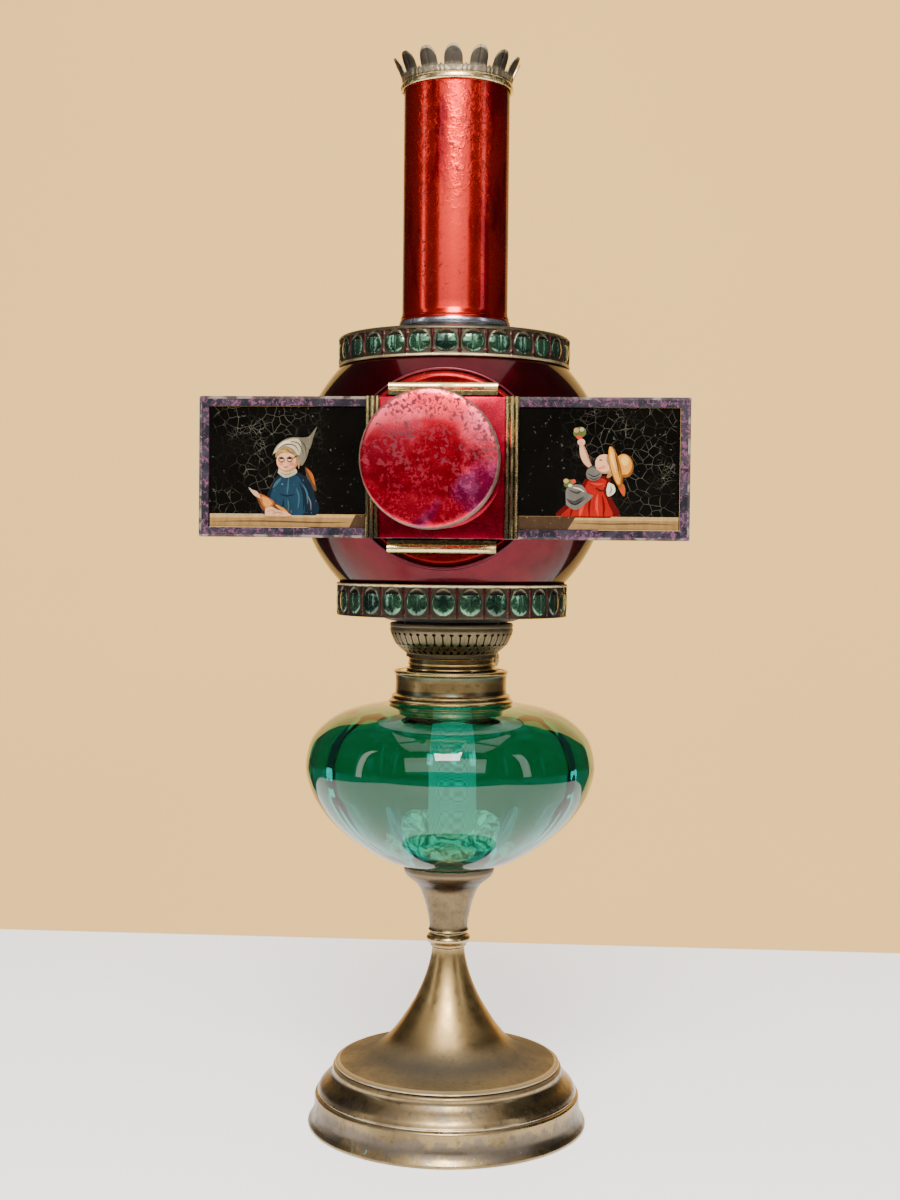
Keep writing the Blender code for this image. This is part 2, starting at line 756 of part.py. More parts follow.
def make_springs():
    """Two bowed leaves that press the slide forward against the front plate."""
    room = SLIDE_BACK - DISC_FRONT - 2 * GAP
    half_span, leaf, width = 0.0240, 0.0005, 0.0050
    rise = room - leaf
    steps = 6
    bow = [(-half_span + 2 * half_span * i / steps) for i in range(steps + 1)]
    outer = [(t, leaf + rise * (1 - (t / half_span) ** 2)) for t in bow]
    inner = [(t, rise * (1 - (t / half_span) ** 2)) for t in reversed(bow)]
    for side, sign in (("left", -1), ("right", 1)):
        spring = extruded("slide_spring_" + side, GILT_BRASS, outer + inner, width)
        # outline x runs up the stage, outline y forward, and the width across
        turn = Matrix(((0, 0, 1), (0, -1, 0), (1, 0, 0))).to_4x4()
        spring.matrix_world = (
            Matrix.Translation((sign * 0.0335 - width / 2, -(DISC_FRONT + GAP), OPTIC_Z)) @ turn
        )


# ---------------------------------------------------------------- picture slide
def make_slide():
    centre = Vector((0, -(SLIDE_BACK + SLIDE_THICKNESS / 2), OPTIC_Z))
    frame = block("slide_frame", MARBLED_PAPER, (SLIDE_LENGTH, SLIDE_THICKNESS, SLIDE_HEIGHT), centre)
    opening = (SLIDE_LENGTH - 2 * SLIDE_BORDER, 0.02, SLIDE_HEIGHT - 2 * SLIDE_BORDER)
    cut(frame, block_cutter("frame_opening", opening, centre))
    glass = (opening[0] - 2 * GAP, 0.0016, opening[2] - 2 * GAP)
    block("slide_glass", PAINTED_GLASS, glass, centre + Vector((0, 0.0006, 0)))


# ---------------------------------------------------------------- objective
def make_objective():
    point_forward(tube("draw_tube", BARE_TIN, DRAW_RADIUS, 0.0009, 0.0900, 0.1462, BIG))
    point_forward(
        turned(
            "lens_head",
            AGED_BRASS,
            [
                (DRAW_RADIUS + GAP, 0.1320),
                (HEAD_RADIUS - 0.0010, 0.1320),
                (HEAD_RADIUS, 0.1330),
                (HEAD_RADIUS, HEAD_FRONT - 0.0010),
                (HEAD_RADIUS - 0.0010, HEAD_FRONT),
                (HEAD_RADIUS - 0.0022, HEAD_FRONT),
                (HEAD_RADIUS - 0.0022, 0.1476),
                (DRAW_RADIUS - 0.0020, 0.1476),
                (DRAW_RADIUS - 0.0020, 0.1466),
                (DRAW_RADIUS + GAP, 0.1466),
            ],
            BIG,
        )
    )
    front_radius = HEAD_RADIUS - 0.0029
    point_forward(
        turned(
            "front_lens",
            CLEAR_GLASS,
            [
                (0, 0.1484),
                (front_radius, 0.1484),
                (front_radius, 0.1504),
                (front_radius * 0.75, 0.1524),
                (front_radius * 0.40, 0.1540),
                (0, 0.1546),
            ],
        )
    )
    point_forward(disc("front_lens_ring", AGED_BRASS, front_radius, 0.1532, 0.1542, bore=front_radius * 0.88))
    rear_radius = DRAW_RADIUS - 0.0014
    point_forward(
        turned(
            "rear_lens",
            CLEAR_GLASS,
            [
                (0, 0.0960),
                (rear_radius * 0.6, 0.0966),
                (rear_radius, 0.0982),
                (rear_radius, 0.1002),
                (rear_radius * 0.6, 0.1018),
                (0, 0.1024),
            ],
        )
    )
    point_forward(
        turned(
            "lens_cap",
            RED_LACQUER,
            [
                (0, CAP_FRONT),
                (CAP_RADIUS * 0.60, CAP_FRONT - 0.0004),
                (CAP_RADIUS - 0.0006, CAP_FRONT - 0.0014),
                (CAP_RADIUS, CAP_FRONT - 0.0022),
                (CAP_RADIUS, CAP_FRONT - 0.0110),
                (CAP_RADIUS - 0.0004, CAP_FRONT - 0.0110),
                (CAP_RADIUS - 0.0004, CAP_FRONT - 0.0026),
                (CAP_RADIUS - 0.0010, CAP_FRONT - 0.0020),
                (0, CAP_FRONT - 0.0012),
            ],
            BIG,
        )
    )


# ---------------------------------------------------------------- chimney
def make_chimney():
    turned(
        "chimney_tube",
        RED_LACQUER,
        [
            (CHIMNEY_RADIUS - 0.0008, CHIMNEY_Z[0] + 0.0010),
            (CHIMNEY_RADIUS + 0.0012, CHIMNEY_Z[0]),
            (CHIMNEY_RADIUS + 0.0008, CHIMNEY_Z[0] + 0.0036),
            (CHIMNEY_RADIUS, CHIMNEY_Z[0] + 0.0062),
            (CHIMNEY_RADIUS, CHIMNEY_Z[1]),
            (CHIMNEY_RADIUS - 0.0008, CHIMNEY_Z[1]),
        ],
        BIG,
    )
    turned(
        "chimney_rim",
        GILT_BRASS,
        [
            (CHIMNEY_RADIUS + GAP, CHIMNEY_Z[1] - 0.0026),
            (CHIMNEY_RADIUS + 0.0018, CHIMNEY_Z[1] - 0.0022),
            (CHIMNEY_RADIUS + 0.0018, CHIMNEY_Z[1] + 0.0004),
            (CHIMNEY_RADIUS + GAP, CHIMNEY_Z[1] + 0.0008),
        ],
        BIG,
    )
    make_crown()


def make_crown():
    """A ring of stamped leaves that lean outwards. Its rows are worked out round the ring, four points to a leaf."""
    foot_z, shoulder_z = CHIMNEY_Z[1] + 0.0012, CHIMNEY_Z[1] + 0.0056
    foot_radius = CHIMNEY_RADIUS + 0.0008
    per_leaf = 4
    count = CROWN_LEAVES * per_leaf
    heights = (0.0, 0.75, 1.0, 0.75)
    mesh = bpy.data.meshes.new("chimney_crown")
    shape = bmesh.new()
    rows = [[], [], []]
    for i in range(count):
        angle = 2 * math.pi * (i + per_leaf / 2) / count
        leaf = heights[(i + per_leaf // 2) % per_leaf]
        tip_z = shoulder_z + 0.0006 + leaf * (CROWN_TOP_Z - shoulder_z - 0.0006)
        share = (tip_z - shoulder_z) / (CROWN_TOP_Z - shoulder_z)
        tip_radius = foot_radius + 0.0009 + share * (CROWN_RADIUS - foot_radius - 0.0009)
        levels = ((foot_radius, foot_z), (foot_radius + 0.0008, shoulder_z), (tip_radius, tip_z))
        for row, (radius, height) in zip(rows, levels):
            row.append(shape.verts.new((radius * math.sin(angle), -radius * math.cos(angle), height)))
    for low, high in zip(rows, rows[1:]):
        for i in range(count):
            j = (i + 1) % count
            shape.faces.new((low[i], low[j], high[j], high[i]))
    bmesh.ops.recalc_face_normals(shape, faces=shape.faces)
    shape.to_mesh(mesh)
    shape.free()
    crown = add_object("chimney_crown", mesh, GILT_BRASS)
    skin = crown.modifiers.new("wall", "SOLIDIFY")
    skin.thickness = 0.0006
    skin.offset = -1


make_foot()
make_font()
make_burner()
make_wick_spindle()
make_wick()
make_basket()
make_housing()
make_stage()
make_slide()
make_objective()
make_chimney()

for piece in lamp_collection.objects:
    if piece.type == "MESH":
        shade(piece.data)
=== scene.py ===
import math
import bmesh
import bpy
from mathutils import Matrix, Vector, noise


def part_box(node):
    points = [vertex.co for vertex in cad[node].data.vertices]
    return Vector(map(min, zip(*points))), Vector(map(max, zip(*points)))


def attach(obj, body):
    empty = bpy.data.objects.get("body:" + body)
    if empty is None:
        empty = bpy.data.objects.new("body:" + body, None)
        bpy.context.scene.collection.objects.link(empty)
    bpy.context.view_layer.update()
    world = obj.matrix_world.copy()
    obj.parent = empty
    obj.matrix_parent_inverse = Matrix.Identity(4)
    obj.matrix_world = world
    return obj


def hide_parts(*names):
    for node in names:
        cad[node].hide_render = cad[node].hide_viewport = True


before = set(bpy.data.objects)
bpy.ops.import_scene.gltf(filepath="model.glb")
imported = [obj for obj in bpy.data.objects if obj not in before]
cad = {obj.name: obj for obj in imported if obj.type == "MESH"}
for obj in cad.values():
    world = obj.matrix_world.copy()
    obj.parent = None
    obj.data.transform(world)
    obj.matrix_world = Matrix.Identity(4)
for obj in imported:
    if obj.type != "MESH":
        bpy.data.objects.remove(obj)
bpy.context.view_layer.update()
scene = bpy.context.scene
print("frame loaded:", len(cad), "pieces")

# sizes below are in millimetres; meshes are made in metres
mm = 0.001
opticAxis = sum((v.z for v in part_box("lens_cap")), 0.0) / 2 / mm


def look(at, eye, roll):
    turn = (Vector(eye) - Vector(at)).to_track_quat("Z", "Y").to_matrix()
    return (turn @ Matrix.Rotation(math.radians(roll), 3, "Z")).to_euler()


# ---- camera, floor and light
view = {"distance": 0.90, "side": 4.0, "eye": 0.307, "aim": 0.2833, "aimSide": -0.0010, "lens": 49.95, "roll": 0.6}
room = {
    "floor": (0.90, 0.90, 0.90),
    "floorGlow": 1.25,
    "floorSpan": (-0.85, 0.85, -0.85, 0.42),  # left, right, front and back edges
    "floorDrop": 0.0002,
    "wall": (1.0, 0.60, 0.19),
    "wallGlow": 1.5,
    "wallSpan": (-1.6, 1.6, 2.6, -1.3),  # left, right, top and bottom edges
    "wallPlace": 2.4,
    "air": (1.0, 0.93, 0.86),
    "airLight": 0.06,
}
lamps = {
    # name: place, aimed at, width, height, watts, colour
    "frontPanel": ((0.0, -2.0, 1.15), (0, -0.2, 0.40), 2.60, 0.90, 20.0, (1.0, 0.96, 0.92)),
    "highPanel": ((0.03, -1.15, 1.30), (0, 0, 0.08), 0.50, 0.80, 44.0, (1.0, 0.93, 0.82)),
    "leftStrip": ((-1.50, -0.55, 0.75), (0, 0, 0.35), 0.16, 1.30, 3.0, (1.0, 0.97, 0.95)),
    "rightStrip": ((1.50, -0.70, 0.80), (0, 0, 0.35), 0.22, 1.10, 2.5, (0.95, 0.97, 1.0)),
    "skylight": ((0.0, -0.25, 2.10), (0, -0.2, 0.0), 1.80, 1.60, 14.0, (1.0, 0.99, 0.98)),
}


def makeCamera():
    camera = bpy.data.objects.new("camera", bpy.data.cameras.new("camera"))
    scene.collection.objects.link(camera)
    side = math.radians(view["side"])
    eye = (view["distance"] * math.sin(side), -view["distance"] * math.cos(side), view["eye"])
    camera.location = eye
    camera.rotation_euler = look((view["aimSide"], 0, view["aim"]), eye, view["roll"])
    camera.data.lens = view["lens"]
    camera.data.sensor_width = 36
    camera.data.clip_start = 0.02
    scene.camera = camera


def makeLights():
    for name, (place, target, width, height, watts, colour) in lamps.items():
        light = bpy.data.objects.new(name, bpy.data.lights.new(name, "AREA"))
        scene.collection.objects.link(light)
        light.data.shape = "RECTANGLE"
        light.data.size, light.data.size_y = width, height
        light.data.energy = watts
        light.data.color = colour
        light.location = place
        light.rotation_euler = look(target, place, 0)
    world = bpy.data.worlds.new("room")
    world.use_nodes = True
    background = world.node_tree.nodes["Background"]
    background.inputs["Color"].default_value = (*room["air"], 1)
    background.inputs["Strength"].default_value = room["airLight"]
    scene.world = world


makeCamera()
makeLights()
print("camera and lights made")


# ---- finishes: a wire takes part in sums, and a finish is a Principled material being put together
class Wire:
    def __init__(self, finish, socket):
        self.finish, self.socket = finish, socket

    def maths(self, operation, *values, clamp=False):
        settings = {"operation": operation, "use_clamp": clamp}
        return self.finish.node("ShaderNodeMath", settings, dict(enumerate(values)))

    def __add__(self, other):
        return self.maths("ADD", self, other)

    __radd__ = __add__

    def __sub__(self, other):
        return self.maths("SUBTRACT", self, other)

    def __rsub__(self, other):
        return self.maths("SUBTRACT", other, self)

    def __mul__(self, other):
        return self.maths("MULTIPLY", self, other)

    __rmul__ = __mul__

    def __truediv__(self, other):
        return self.maths("DIVIDE", self, other)

    def __pow__(self, other):
        return self.maths("POWER", self, other)

    def over(self, level, soft=0.0):
        # 0 below the level and 1 above it, with a soft edge
        if not soft:
            return self.maths("GREATER_THAN", self, level)
        ends = {"From Min": level - soft, "From Max": level + soft}
        return self.finish.node("ShaderNodeMapRange", {"interpolation_type": "SMOOTHSTEP"}, {"Value": self, **ends})

    def under(self, level, soft=0.0):
        return 1 - self.over(level, soft)

    def between(self, low, high, soft):
        return self.over(low, soft) * self.under(high, soft)

    def clip(self):
        return self.maths("ADD", self, 0, clamp=True)


class Finish:
    def __init__(self, name, **constants):
        self.material = bpy.data.materials.new(name)
        self.material.use_nodes = True
        self.tree = self.material.node_tree
        self.shader = self.tree.nodes["Principled BSDF"]
        for socket, value in constants.items():
            self.shader.inputs[socket.replace("_", " ")].default_value = value
        self.place = self.node("ShaderNodeTexCoord", output="Object")

    def node(self, kind, settings=None, inputs=None, output=0):
        made = self.tree.nodes.new(kind)
        for setting, value in (settings or {}).items():
            setattr(made, setting, value)
        for socket, value in (inputs or {}).items():
            self.plug(made.inputs[socket], value)
        return Wire(self, made.outputs[output])

    def plug(self, socket, value):
        if isinstance(value, Wire):
            self.tree.links.new(value.socket, socket)
        elif hasattr(value, "__len__") and len(value) == 3 and len(socket.default_value) == 4:
            socket.default_value = (*value, 1)
        else:
            socket.default_value = value

    def axes(self):
        # x, y and z across the piece, in metres
        parts = self.node("ShaderNodeSeparateXYZ", inputs={0: self.place})
        return [Wire(self, s) for s in parts.socket.node.outputs]

    def height(self):
        # height over the table, in millimetres
        return self.axes()[2] * 1000

    def stretch(self, scale=(1, 1, 1), move=(0, 0, 0)):
        return self.node("ShaderNodeMapping", inputs={"Vector": self.place, "Scale": scale, "Location": move})

    def noise(self, scale, detail=4.0, rough=0.55, at=None, warp=0.0):
        sockets = {"Vector": at or self.place, "Scale": scale, "Detail": detail, "Roughness": rough}
        return self.node("ShaderNodeTexNoise", inputs={**sockets, "Distortion": warp}, output="Fac")

    def cells(self, scale, feature="F1", at=None):
        sockets = {"Vector": at or self.place, "Scale": scale}
        return self.node("ShaderNodeTexVoronoi", {"feature": feature}, sockets, "Distance")

    def mix(self, mask, first, second, blend="MIX"):
        settings = {"data_type": "RGBA", "blend_type": blend, "clamp_factor": True}
        return self.node("ShaderNodeMix", settings, {0: mask, 6: first, 7: second}, output=2)

    def attribute(self, name, output="Fac"):
        return self.node("ShaderNodeAttribute", {"attribute_name": name}, output=output)

    def bump(self, height, strength=0.3, distance=0.0005):
        return self.node("ShaderNodeBump", inputs={"Height": height, "Strength": strength, "Distance": distance})

    def done(self, **links):
        for socket, value in links.items():
            self.plug(self.shader.inputs[socket.replace("_", " ")], value)
        return self.material


# ---- mesh helpers
def flow(points, fine=6):
    # a smooth line through the points
    ends = [points[0]] + list(points) + [points[-1]]
    line = []
    for a, b, c, d in zip(ends, ends[1:], ends[2:], ends[3:]):
        for i in range(fine):
            t = i / fine
            line.append(tuple(
                0.5 * (2 * q + (r - p) * t + (2 * p - 5 * q + 4 * r - s) * t**2 + (3 * q - p - 3 * r + s) * t**3)
                for p, q, r, s in zip(a, b, c, d)
            ))
    return line + [tuple(points[-1])]


def arcPoints(centre, radius, start, end, fine=8):
    turns = [math.radians(start + (end - start) * i / fine) for i in range(fine + 1)]
    return [(centre[0] + radius * math.cos(t), centre[1] + radius * math.sin(t)) for t in turns]


def addPiece(name, mesh, material, body, *nodes):
    piece = bpy.data.objects.new(name, mesh)
    scene.collection.objects.link(piece)
    if material:
        mesh.materials.clear()
        mesh.materials.append(material)
    if nodes:
        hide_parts(*nodes)
    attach(piece, body)
    return piece


def smoothOff(mesh, angle=38):
    mesh.shade_smooth()
    mesh.set_sharp_from_angle(angle=math.radians(angle))


def plainMesh(name, shape):
    mesh = bpy.data.meshes.new(name)
    shape.to_mesh(mesh)
    shape.free()
    return mesh


def meshOf(name, shape, angle=38):
    bmesh.ops.remove_doubles(shape, verts=shape.verts, dist=0.4e-6)
    bmesh.ops.recalc_face_normals(shape, faces=shape.faces)
    mesh = plainMesh(name, shape)
    smoothOff(mesh, angle)
    return mesh


def ringPoint(shape, radius, angle, height):
    # a vertex beside the lamp's upright axis
    return shape.verts.new((radius * math.cos(angle) * mm, radius * math.sin(angle) * mm, height * mm))


def joinRows(shape, rows, closed=False, turned=False):
    # faces between neighbouring rows of vertices
    if closed:
        rows = [row + row[:1] for row in rows]
    for near, far in zip(rows, rows[1:]):
        for i in range(len(near) - 1):
            face = (near[i], near[i + 1], far[i + 1], far[i])
            shape.faces.new(face[::-1] if turned else face)


def markEdges(mesh):
    # "edge" is over 0.5 on the raised edges and under 0.5 in the hollows
    count = len(mesh.vertices)
    spread = [Vector() for _ in range(count)]
    near = [0] * count
    reach = [0.0] * count
    for edge in mesh.edges:
        a, b = edge.vertices
        gap = mesh.vertices[b].co - mesh.vertices[a].co
        spread[a] += gap
        spread[b] -= gap
        for end in (a, b):
            near[end] += 1
            reach[end] += gap.length
    values = []
    for i, vertex in enumerate(mesh.vertices):
        bulge = -vertex.normal.dot(spread[i]) / max(reach[i], 1e-9)
        values.append(min(max(0.5 + 1.6 * bulge, 0.0), 1.0))
    mesh.attributes.new("edge", "FLOAT", "POINT").data.foreach_set("value", values)


def lathe(name, outline, sides=144, ripple=None, tip="Z"):
    # turns a closed outline of (radius, height) about the lamp's axis, or about the optical axis when tip is "Y"
    shape = bmesh.new()
    rings = []
    for point in outline:
        radius, height = point[:2]
        ring = []
        for i in range(sides):
            angle = 2 * math.pi * i / sides
            r = radius + (ripple(angle, point) if ripple and radius > 0 else 0)
            ring.append(ringPoint(shape, r, angle, height))
            if radius == 0:
                ring = ring * sides
                break
        rings.append(ring)
    for near, far in zip(rings, rings[1:] + rings[:1]):
        for i in range(sides):
            j = (i + 1) % sides
            corners = []
            for vertex in (near[i], near[j], far[j], far[i]):
                if vertex not in corners:
                    corners.append(vertex)
            if len(corners) > 2:
                shape.faces.new(corners)
    if tip == "Y":
        bmesh.ops.transform(shape, matrix=forward, verts=shape.verts)
    return meshOf(name, shape)


# local +Z turned to run forward out of the lens, at the height of the optical axis
forward = Matrix.Translation((0, 0, opticAxis * mm)) @ Matrix.Rotation(math.radians(90), 4, "X")


def wornPiece(name, mesh, material, body, node):
    markEdges(mesh)
    addPiece(name, mesh, material, body, node)


def turnedPiece(name, node, body, material, outline, sides=144, tip="Z"):
    wornPiece(name, lathe(name, outline, sides, tip=tip), material, body, node)


def low(node):
    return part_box(node)[0].z / mm


def high(node):
    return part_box(node)[1].z / mm


# ---- repeated shapes: a unit made in front of an axis is carried round it
def roundTree():
    tree = bpy.data.node_groups.new("carryRound", "GeometryNodeTree")
    face = tree.interface
    face.new_socket("Geometry", in_out="INPUT", socket_type="NodeSocketGeometry")
    sockets = {}
    for name, kind, value in (
        ("Count", "NodeSocketInt", 12),
        ("Start", "NodeSocketFloat", 0.0),
        ("Weld", "NodeSocketFloat", 0.00001),
        ("Material", "NodeSocketMaterial", None),
    ):
        made = face.new_socket(name, in_out="INPUT", socket_type=kind)
        if value is not None:
            made.default_value = value
        sockets[name] = made.identifier
    face.new_socket("Geometry", in_out="OUTPUT", socket_type="NodeSocketGeometry")

    def node(kind, settings=None, links=None):
        made = tree.nodes.new(kind)
        for setting, value in (settings or {}).items():
            setattr(made, setting, value)
        for socket, value in (links or {}).items():
            if isinstance(value, bpy.types.NodeSocket):
                tree.links.new(value, made.inputs[socket])
            else:
                made.inputs[socket].default_value = value
        return made

    given = node("NodeGroupInput").outputs
    points = node("GeometryNodePoints", links={"Count": given["Count"]})
    share = node("ShaderNodeMath", {"operation": "DIVIDE"}, {0: math.tau, 1: given["Count"]})
    index = node("GeometryNodeInputIndex")
    terms = {0: index.outputs[0], 1: share.outputs[0], 2: given["Start"]}
    turn = node("ShaderNodeMath", {"operation": "MULTIPLY_ADD"}, terms)
    spin = node("ShaderNodeCombineXYZ", links={"Z": turn.outputs[0]})
    copies = node(
        "GeometryNodeInstanceOnPoints",
        links={"Points": points.outputs[0], "Instance": given["Geometry"], "Rotation": spin.outputs[0]},
    )
    real = node("GeometryNodeRealizeInstances", links={0: copies.outputs[0]})
    weld = node("GeometryNodeMergeByDistance", links={"Geometry": real.outputs[0], "Distance": given["Weld"]})
    paint = node("GeometryNodeSetMaterial", links={"Geometry": weld.outputs[0], "Material": given["Material"]})
    out = node("NodeGroupOutput")
    tree.links.new(paint.outputs[0], out.inputs[0])
    return tree, sockets


carryRound, roundSockets = roundTree()


def evaluated(piece):
    # the piece's mesh with its modifiers worked out
    bpy.context.view_layer.update()
    graph = bpy.context.evaluated_depsgraph_get()
    mesh = bpy.data.meshes.new_from_object(piece.evaluated_get(graph))
    old = piece.data
    bpy.data.objects.remove(piece)
    if old.users == 0:
        bpy.data.meshes.remove(old)
    return mesh


def ringOf(name, unit, count, material, start=0.0, weld=0.01, wall=0.0, angle=38):
    holder = bpy.data.objects.new(name, unit)
    scene.collection.objects.link(holder)
    ring = holder.modifiers.new("round", "NODES")
    ring.node_group = carryRound
    values = {"Count": count, "Start": math.radians(start), "Weld": weld * mm, "Material": material}
    for socket, value in values.items():
        ring[roundSockets[socket]] = value
    if wall:
        skin = holder.modifiers.new("wall", "SOLIDIFY")
        skin.thickness, skin.offset, skin.use_even_offset = wall * mm, -1, False
    mesh = evaluated(holder)
    mesh.name = name
    smoothOff(mesh, angle)
    return mesh


def cutBy(mesh, *cutters):
    holder = bpy.data.objects.new(mesh.name, mesh)
    scene.collection.objects.link(holder)
    tools = []
    for cutter in cutters:
        tool = bpy.data.objects.new("cutter", cutter)
        scene.collection.objects.link(tool)
        step = holder.modifiers.new("cut", "BOOLEAN")
        step.operation, step.solver, step.object = "DIFFERENCE", "EXACT", tool
        tools.append(tool)
    result = evaluated(holder)
    for tool in tools:
        bpy.data.objects.remove(tool)
    smoothOff(result)
    return result


def rod(radius, start, end, centre, sides):
    # a plain cylinder that runs forwards from start to end, for cutting
    shape = bmesh.new()
    bmesh.ops.create_cone(
        shape, cap_ends=True, segments=sides, radius1=radius * mm, radius2=radius * mm, depth=(end - start) * mm
    )
    bmesh.ops.translate(shape, vec=(0, 0, (start + end) / 2 * mm), verts=shape.verts)
    bmesh.ops.rotate(shape, matrix=Matrix.Rotation(math.radians(90), 3, "X"), verts=shape.verts)
    bmesh.ops.translate(shape, vec=Vector(centre) * mm, verts=shape.verts)
    return meshOf("rod", shape)


def boxMesh(name, size, centre, bevel=0.0, steps=3):
    shape = bmesh.new()
    bmesh.ops.create_cube(shape, size=1.0)
    bmesh.ops.scale(shape, vec=[s * mm for s in size], verts=shape.verts)
    if bevel:
        bmesh.ops.bevel(shape, geom=shape.edges, offset=bevel * mm, segments=steps, profile=0.5, affect="EDGES")
    bmesh.ops.translate(shape, vec=[c * mm for c in centre], verts=shape.verts)
    return meshOf(name, shape)


# ---- floor
def makeFloor():
    def sheet(name, span, place):
        # a flat rectangle with corners given by place, from left, right and two more edges
        left, right, first, second = span
        shape = bmesh.new()
        corners = [(left, first), (right, first), (right, second), (left, second)]
        shape.faces.new([shape.verts.new(place(*corner)) for corner in corners])
        made = bpy.data.objects.new(name, meshOf(name, shape))
        scene.collection.objects.link(made)
        return made

    floor = sheet("floor", room["floorSpan"], lambda x, y: (x, y, -room["floorDrop"]))
    glow = {"Emission_Color": (*room["floor"], 1), "Emission_Strength": room["floorGlow"]}
    paint = Finish("floorPaint", Base_Color=(*room["floor"], 1), Roughness=0.55, **glow)
    floor.data.materials.append(paint.material)
    # a plain warm wall well behind the table
    wall = sheet("wall", room["wallSpan"], lambda x, z: (x, room["wallPlace"], z))
    plain = Finish("wallPaint", Base_Color=(*room["wall"], 1), Roughness=0.9, Emission_Strength=room["wallGlow"])
    tone = plain.noise(1.3, 3, 0.5)
    plain.done(Emission_Color=plain.mix(tone, [c * 0.86 for c in room["wall"]], room["wall"]))
    wall.data.materials.append(plain.material)


makeFloor()


# ---- brass
patina = {
    # the foot's marks, by height: from, to and how softly they fade
    "gold": (50, 97, 9.0),
    "flare": (34.5, 44, 6.0),
    "dulled": (33.6, 44, 5.0),
    "lip": (32.5, 33.2, 0.15),
    "step": (17.5, 18.5, 0.15),
    "tide": (17.5, 25.5, 1.2),
    "mark": (20.5, 28.5, 1.0),
    "mint": (1.6, 5.0, 0.6),
    # from here up: height and softness
    "stem": (104, 2.0),
    "cup": (128, 3.0),
}


def brassFinish(name, clean, tarnish, dark, shine=0.34, patches=0.5, green=0.0, aged=False, verdigris=None):
    brass = Finish(name, Metallic=1.0)
    broad = brass.noise(26, 5, 0.6)
    fine = brass.noise(260, 6, 0.65)
    specks = brass.noise(900, 3, 0.6)
    worn = brass.attribute("edge")
    raised = worn.over(0.56, 0.05)
    hollow = worn.under(0.43, 0.05)
    blotch = (broad * 0.6 + fine * 0.4).over(1 - patches, 0.12)
    colour = brass.mix(blotch, tarnish, clean)
    colour = brass.mix(fine.over(0.60, 0.08) * 0.55, colour, dark)
    colour = brass.mix(hollow * 0.8, colour, dark)
    if aged:  # brown flare, darker cup, stained plinth, painted highlight lines on the rims and green specks along the lowest rim
        rise = brass.height()
        brown = brass.mix(fine, (0.026, 0.021, 0.014), (0.050, 0.040, 0.028))
        colour = brass.mix(rise.between(*patina["gold"]) * 0.6, colour, (0.50, 0.33, 0.13))
        colour = brass.mix(rise.between(*patina["flare"]) * 0.92, colour, brown)
        # darker over the cup, most towards its rim under the font
        cupDarkColour = brass.mix(broad, (0.018, 0.014, 0.016), (0.050, 0.038, 0.036))
        cupDarkening = rise.over(*patina["cup"]) * 0.5 + rise.over(*patina["stem"]) * 0.4
        colour = brass.mix(cupDarkening.clip(), colour, cupDarkColour)
        # pale lines along the cone's lip and the plinth's step: painted highlight on the rims
        paleBands = rise.between(*patina["lip"]) + rise.between(*patina["step"])
        colour = brass.mix(paleBands * (0.45 + 0.55 * brass.noise(60, 4).over(0.45, 0.06)), colour, (0.72, 0.67, 0.58))
        tide = brass.noise(95, 6, 0.72, brass.stretch((1, 1, 0.45)))
        stain = (rise + tide * 26).between(*patina["tide"])
        mark = brass.noise(70, 6, 0.7).over(0.56, 0.03) * rise.between(*patina["mark"])
        stained = brass.mix(fine, (0.085, 0.072, 0.06), (0.20, 0.17, 0.145))
        colour = brass.mix((stain + mark).clip() * 0.8, colour, stained)
        mint = brass.noise(230, 5, 0.7).over(0.64, 0.02) * rise.between(*patina["mint"])
        colour = brass.mix(mint * 0.8, colour, (0.28, 0.50, 0.36))
    if verdigris:
        bloom = brass.height().between(*verdigris, 1.2) * (0.5 + 0.5 * broad.over(0.45, 0.1))
        colour = brass.mix(bloom * 0.75, colour, brass.mix(fine, (0.02, 0.045, 0.014), (0.06, 0.12, 0.04)))
    if green:
        colour = brass.mix(hollow * brass.noise(90, 3).over(0.5, 0.06) * green, colour, (0.10, 0.22, 0.16))
    # raised edges lighter: partly wear, partly painted highlight along the rims
    colour = brass.mix(raised * 0.85, colour, [min(1.0, c * 1.9) for c in clean])
    gloss = shine + 0.22 * (1 - blotch) + 0.16 * (fine - 0.5) - 0.10 * raised
    metal = 1.0
    if aged:  # the flat flare has lost its polish
        dulled = rise.between(*patina["dulled"])
        metal = 1 - 0.85 * dulled
        gloss = gloss + dulled * 0.3
    relief = brass.bump(fine * 0.6 + specks * 0.4, 0.12, 0.0003)
    return brass.done(Base_Color=colour, Metallic=metal, Roughness=gloss.clip(), Normal=relief)


agedBrass = brassFinish(
    "agedBrass", (0.31, 0.225, 0.115), (0.17, 0.125, 0.070), (0.05, 0.038, 0.027), 0.26, 0.5, 0.2, True
)

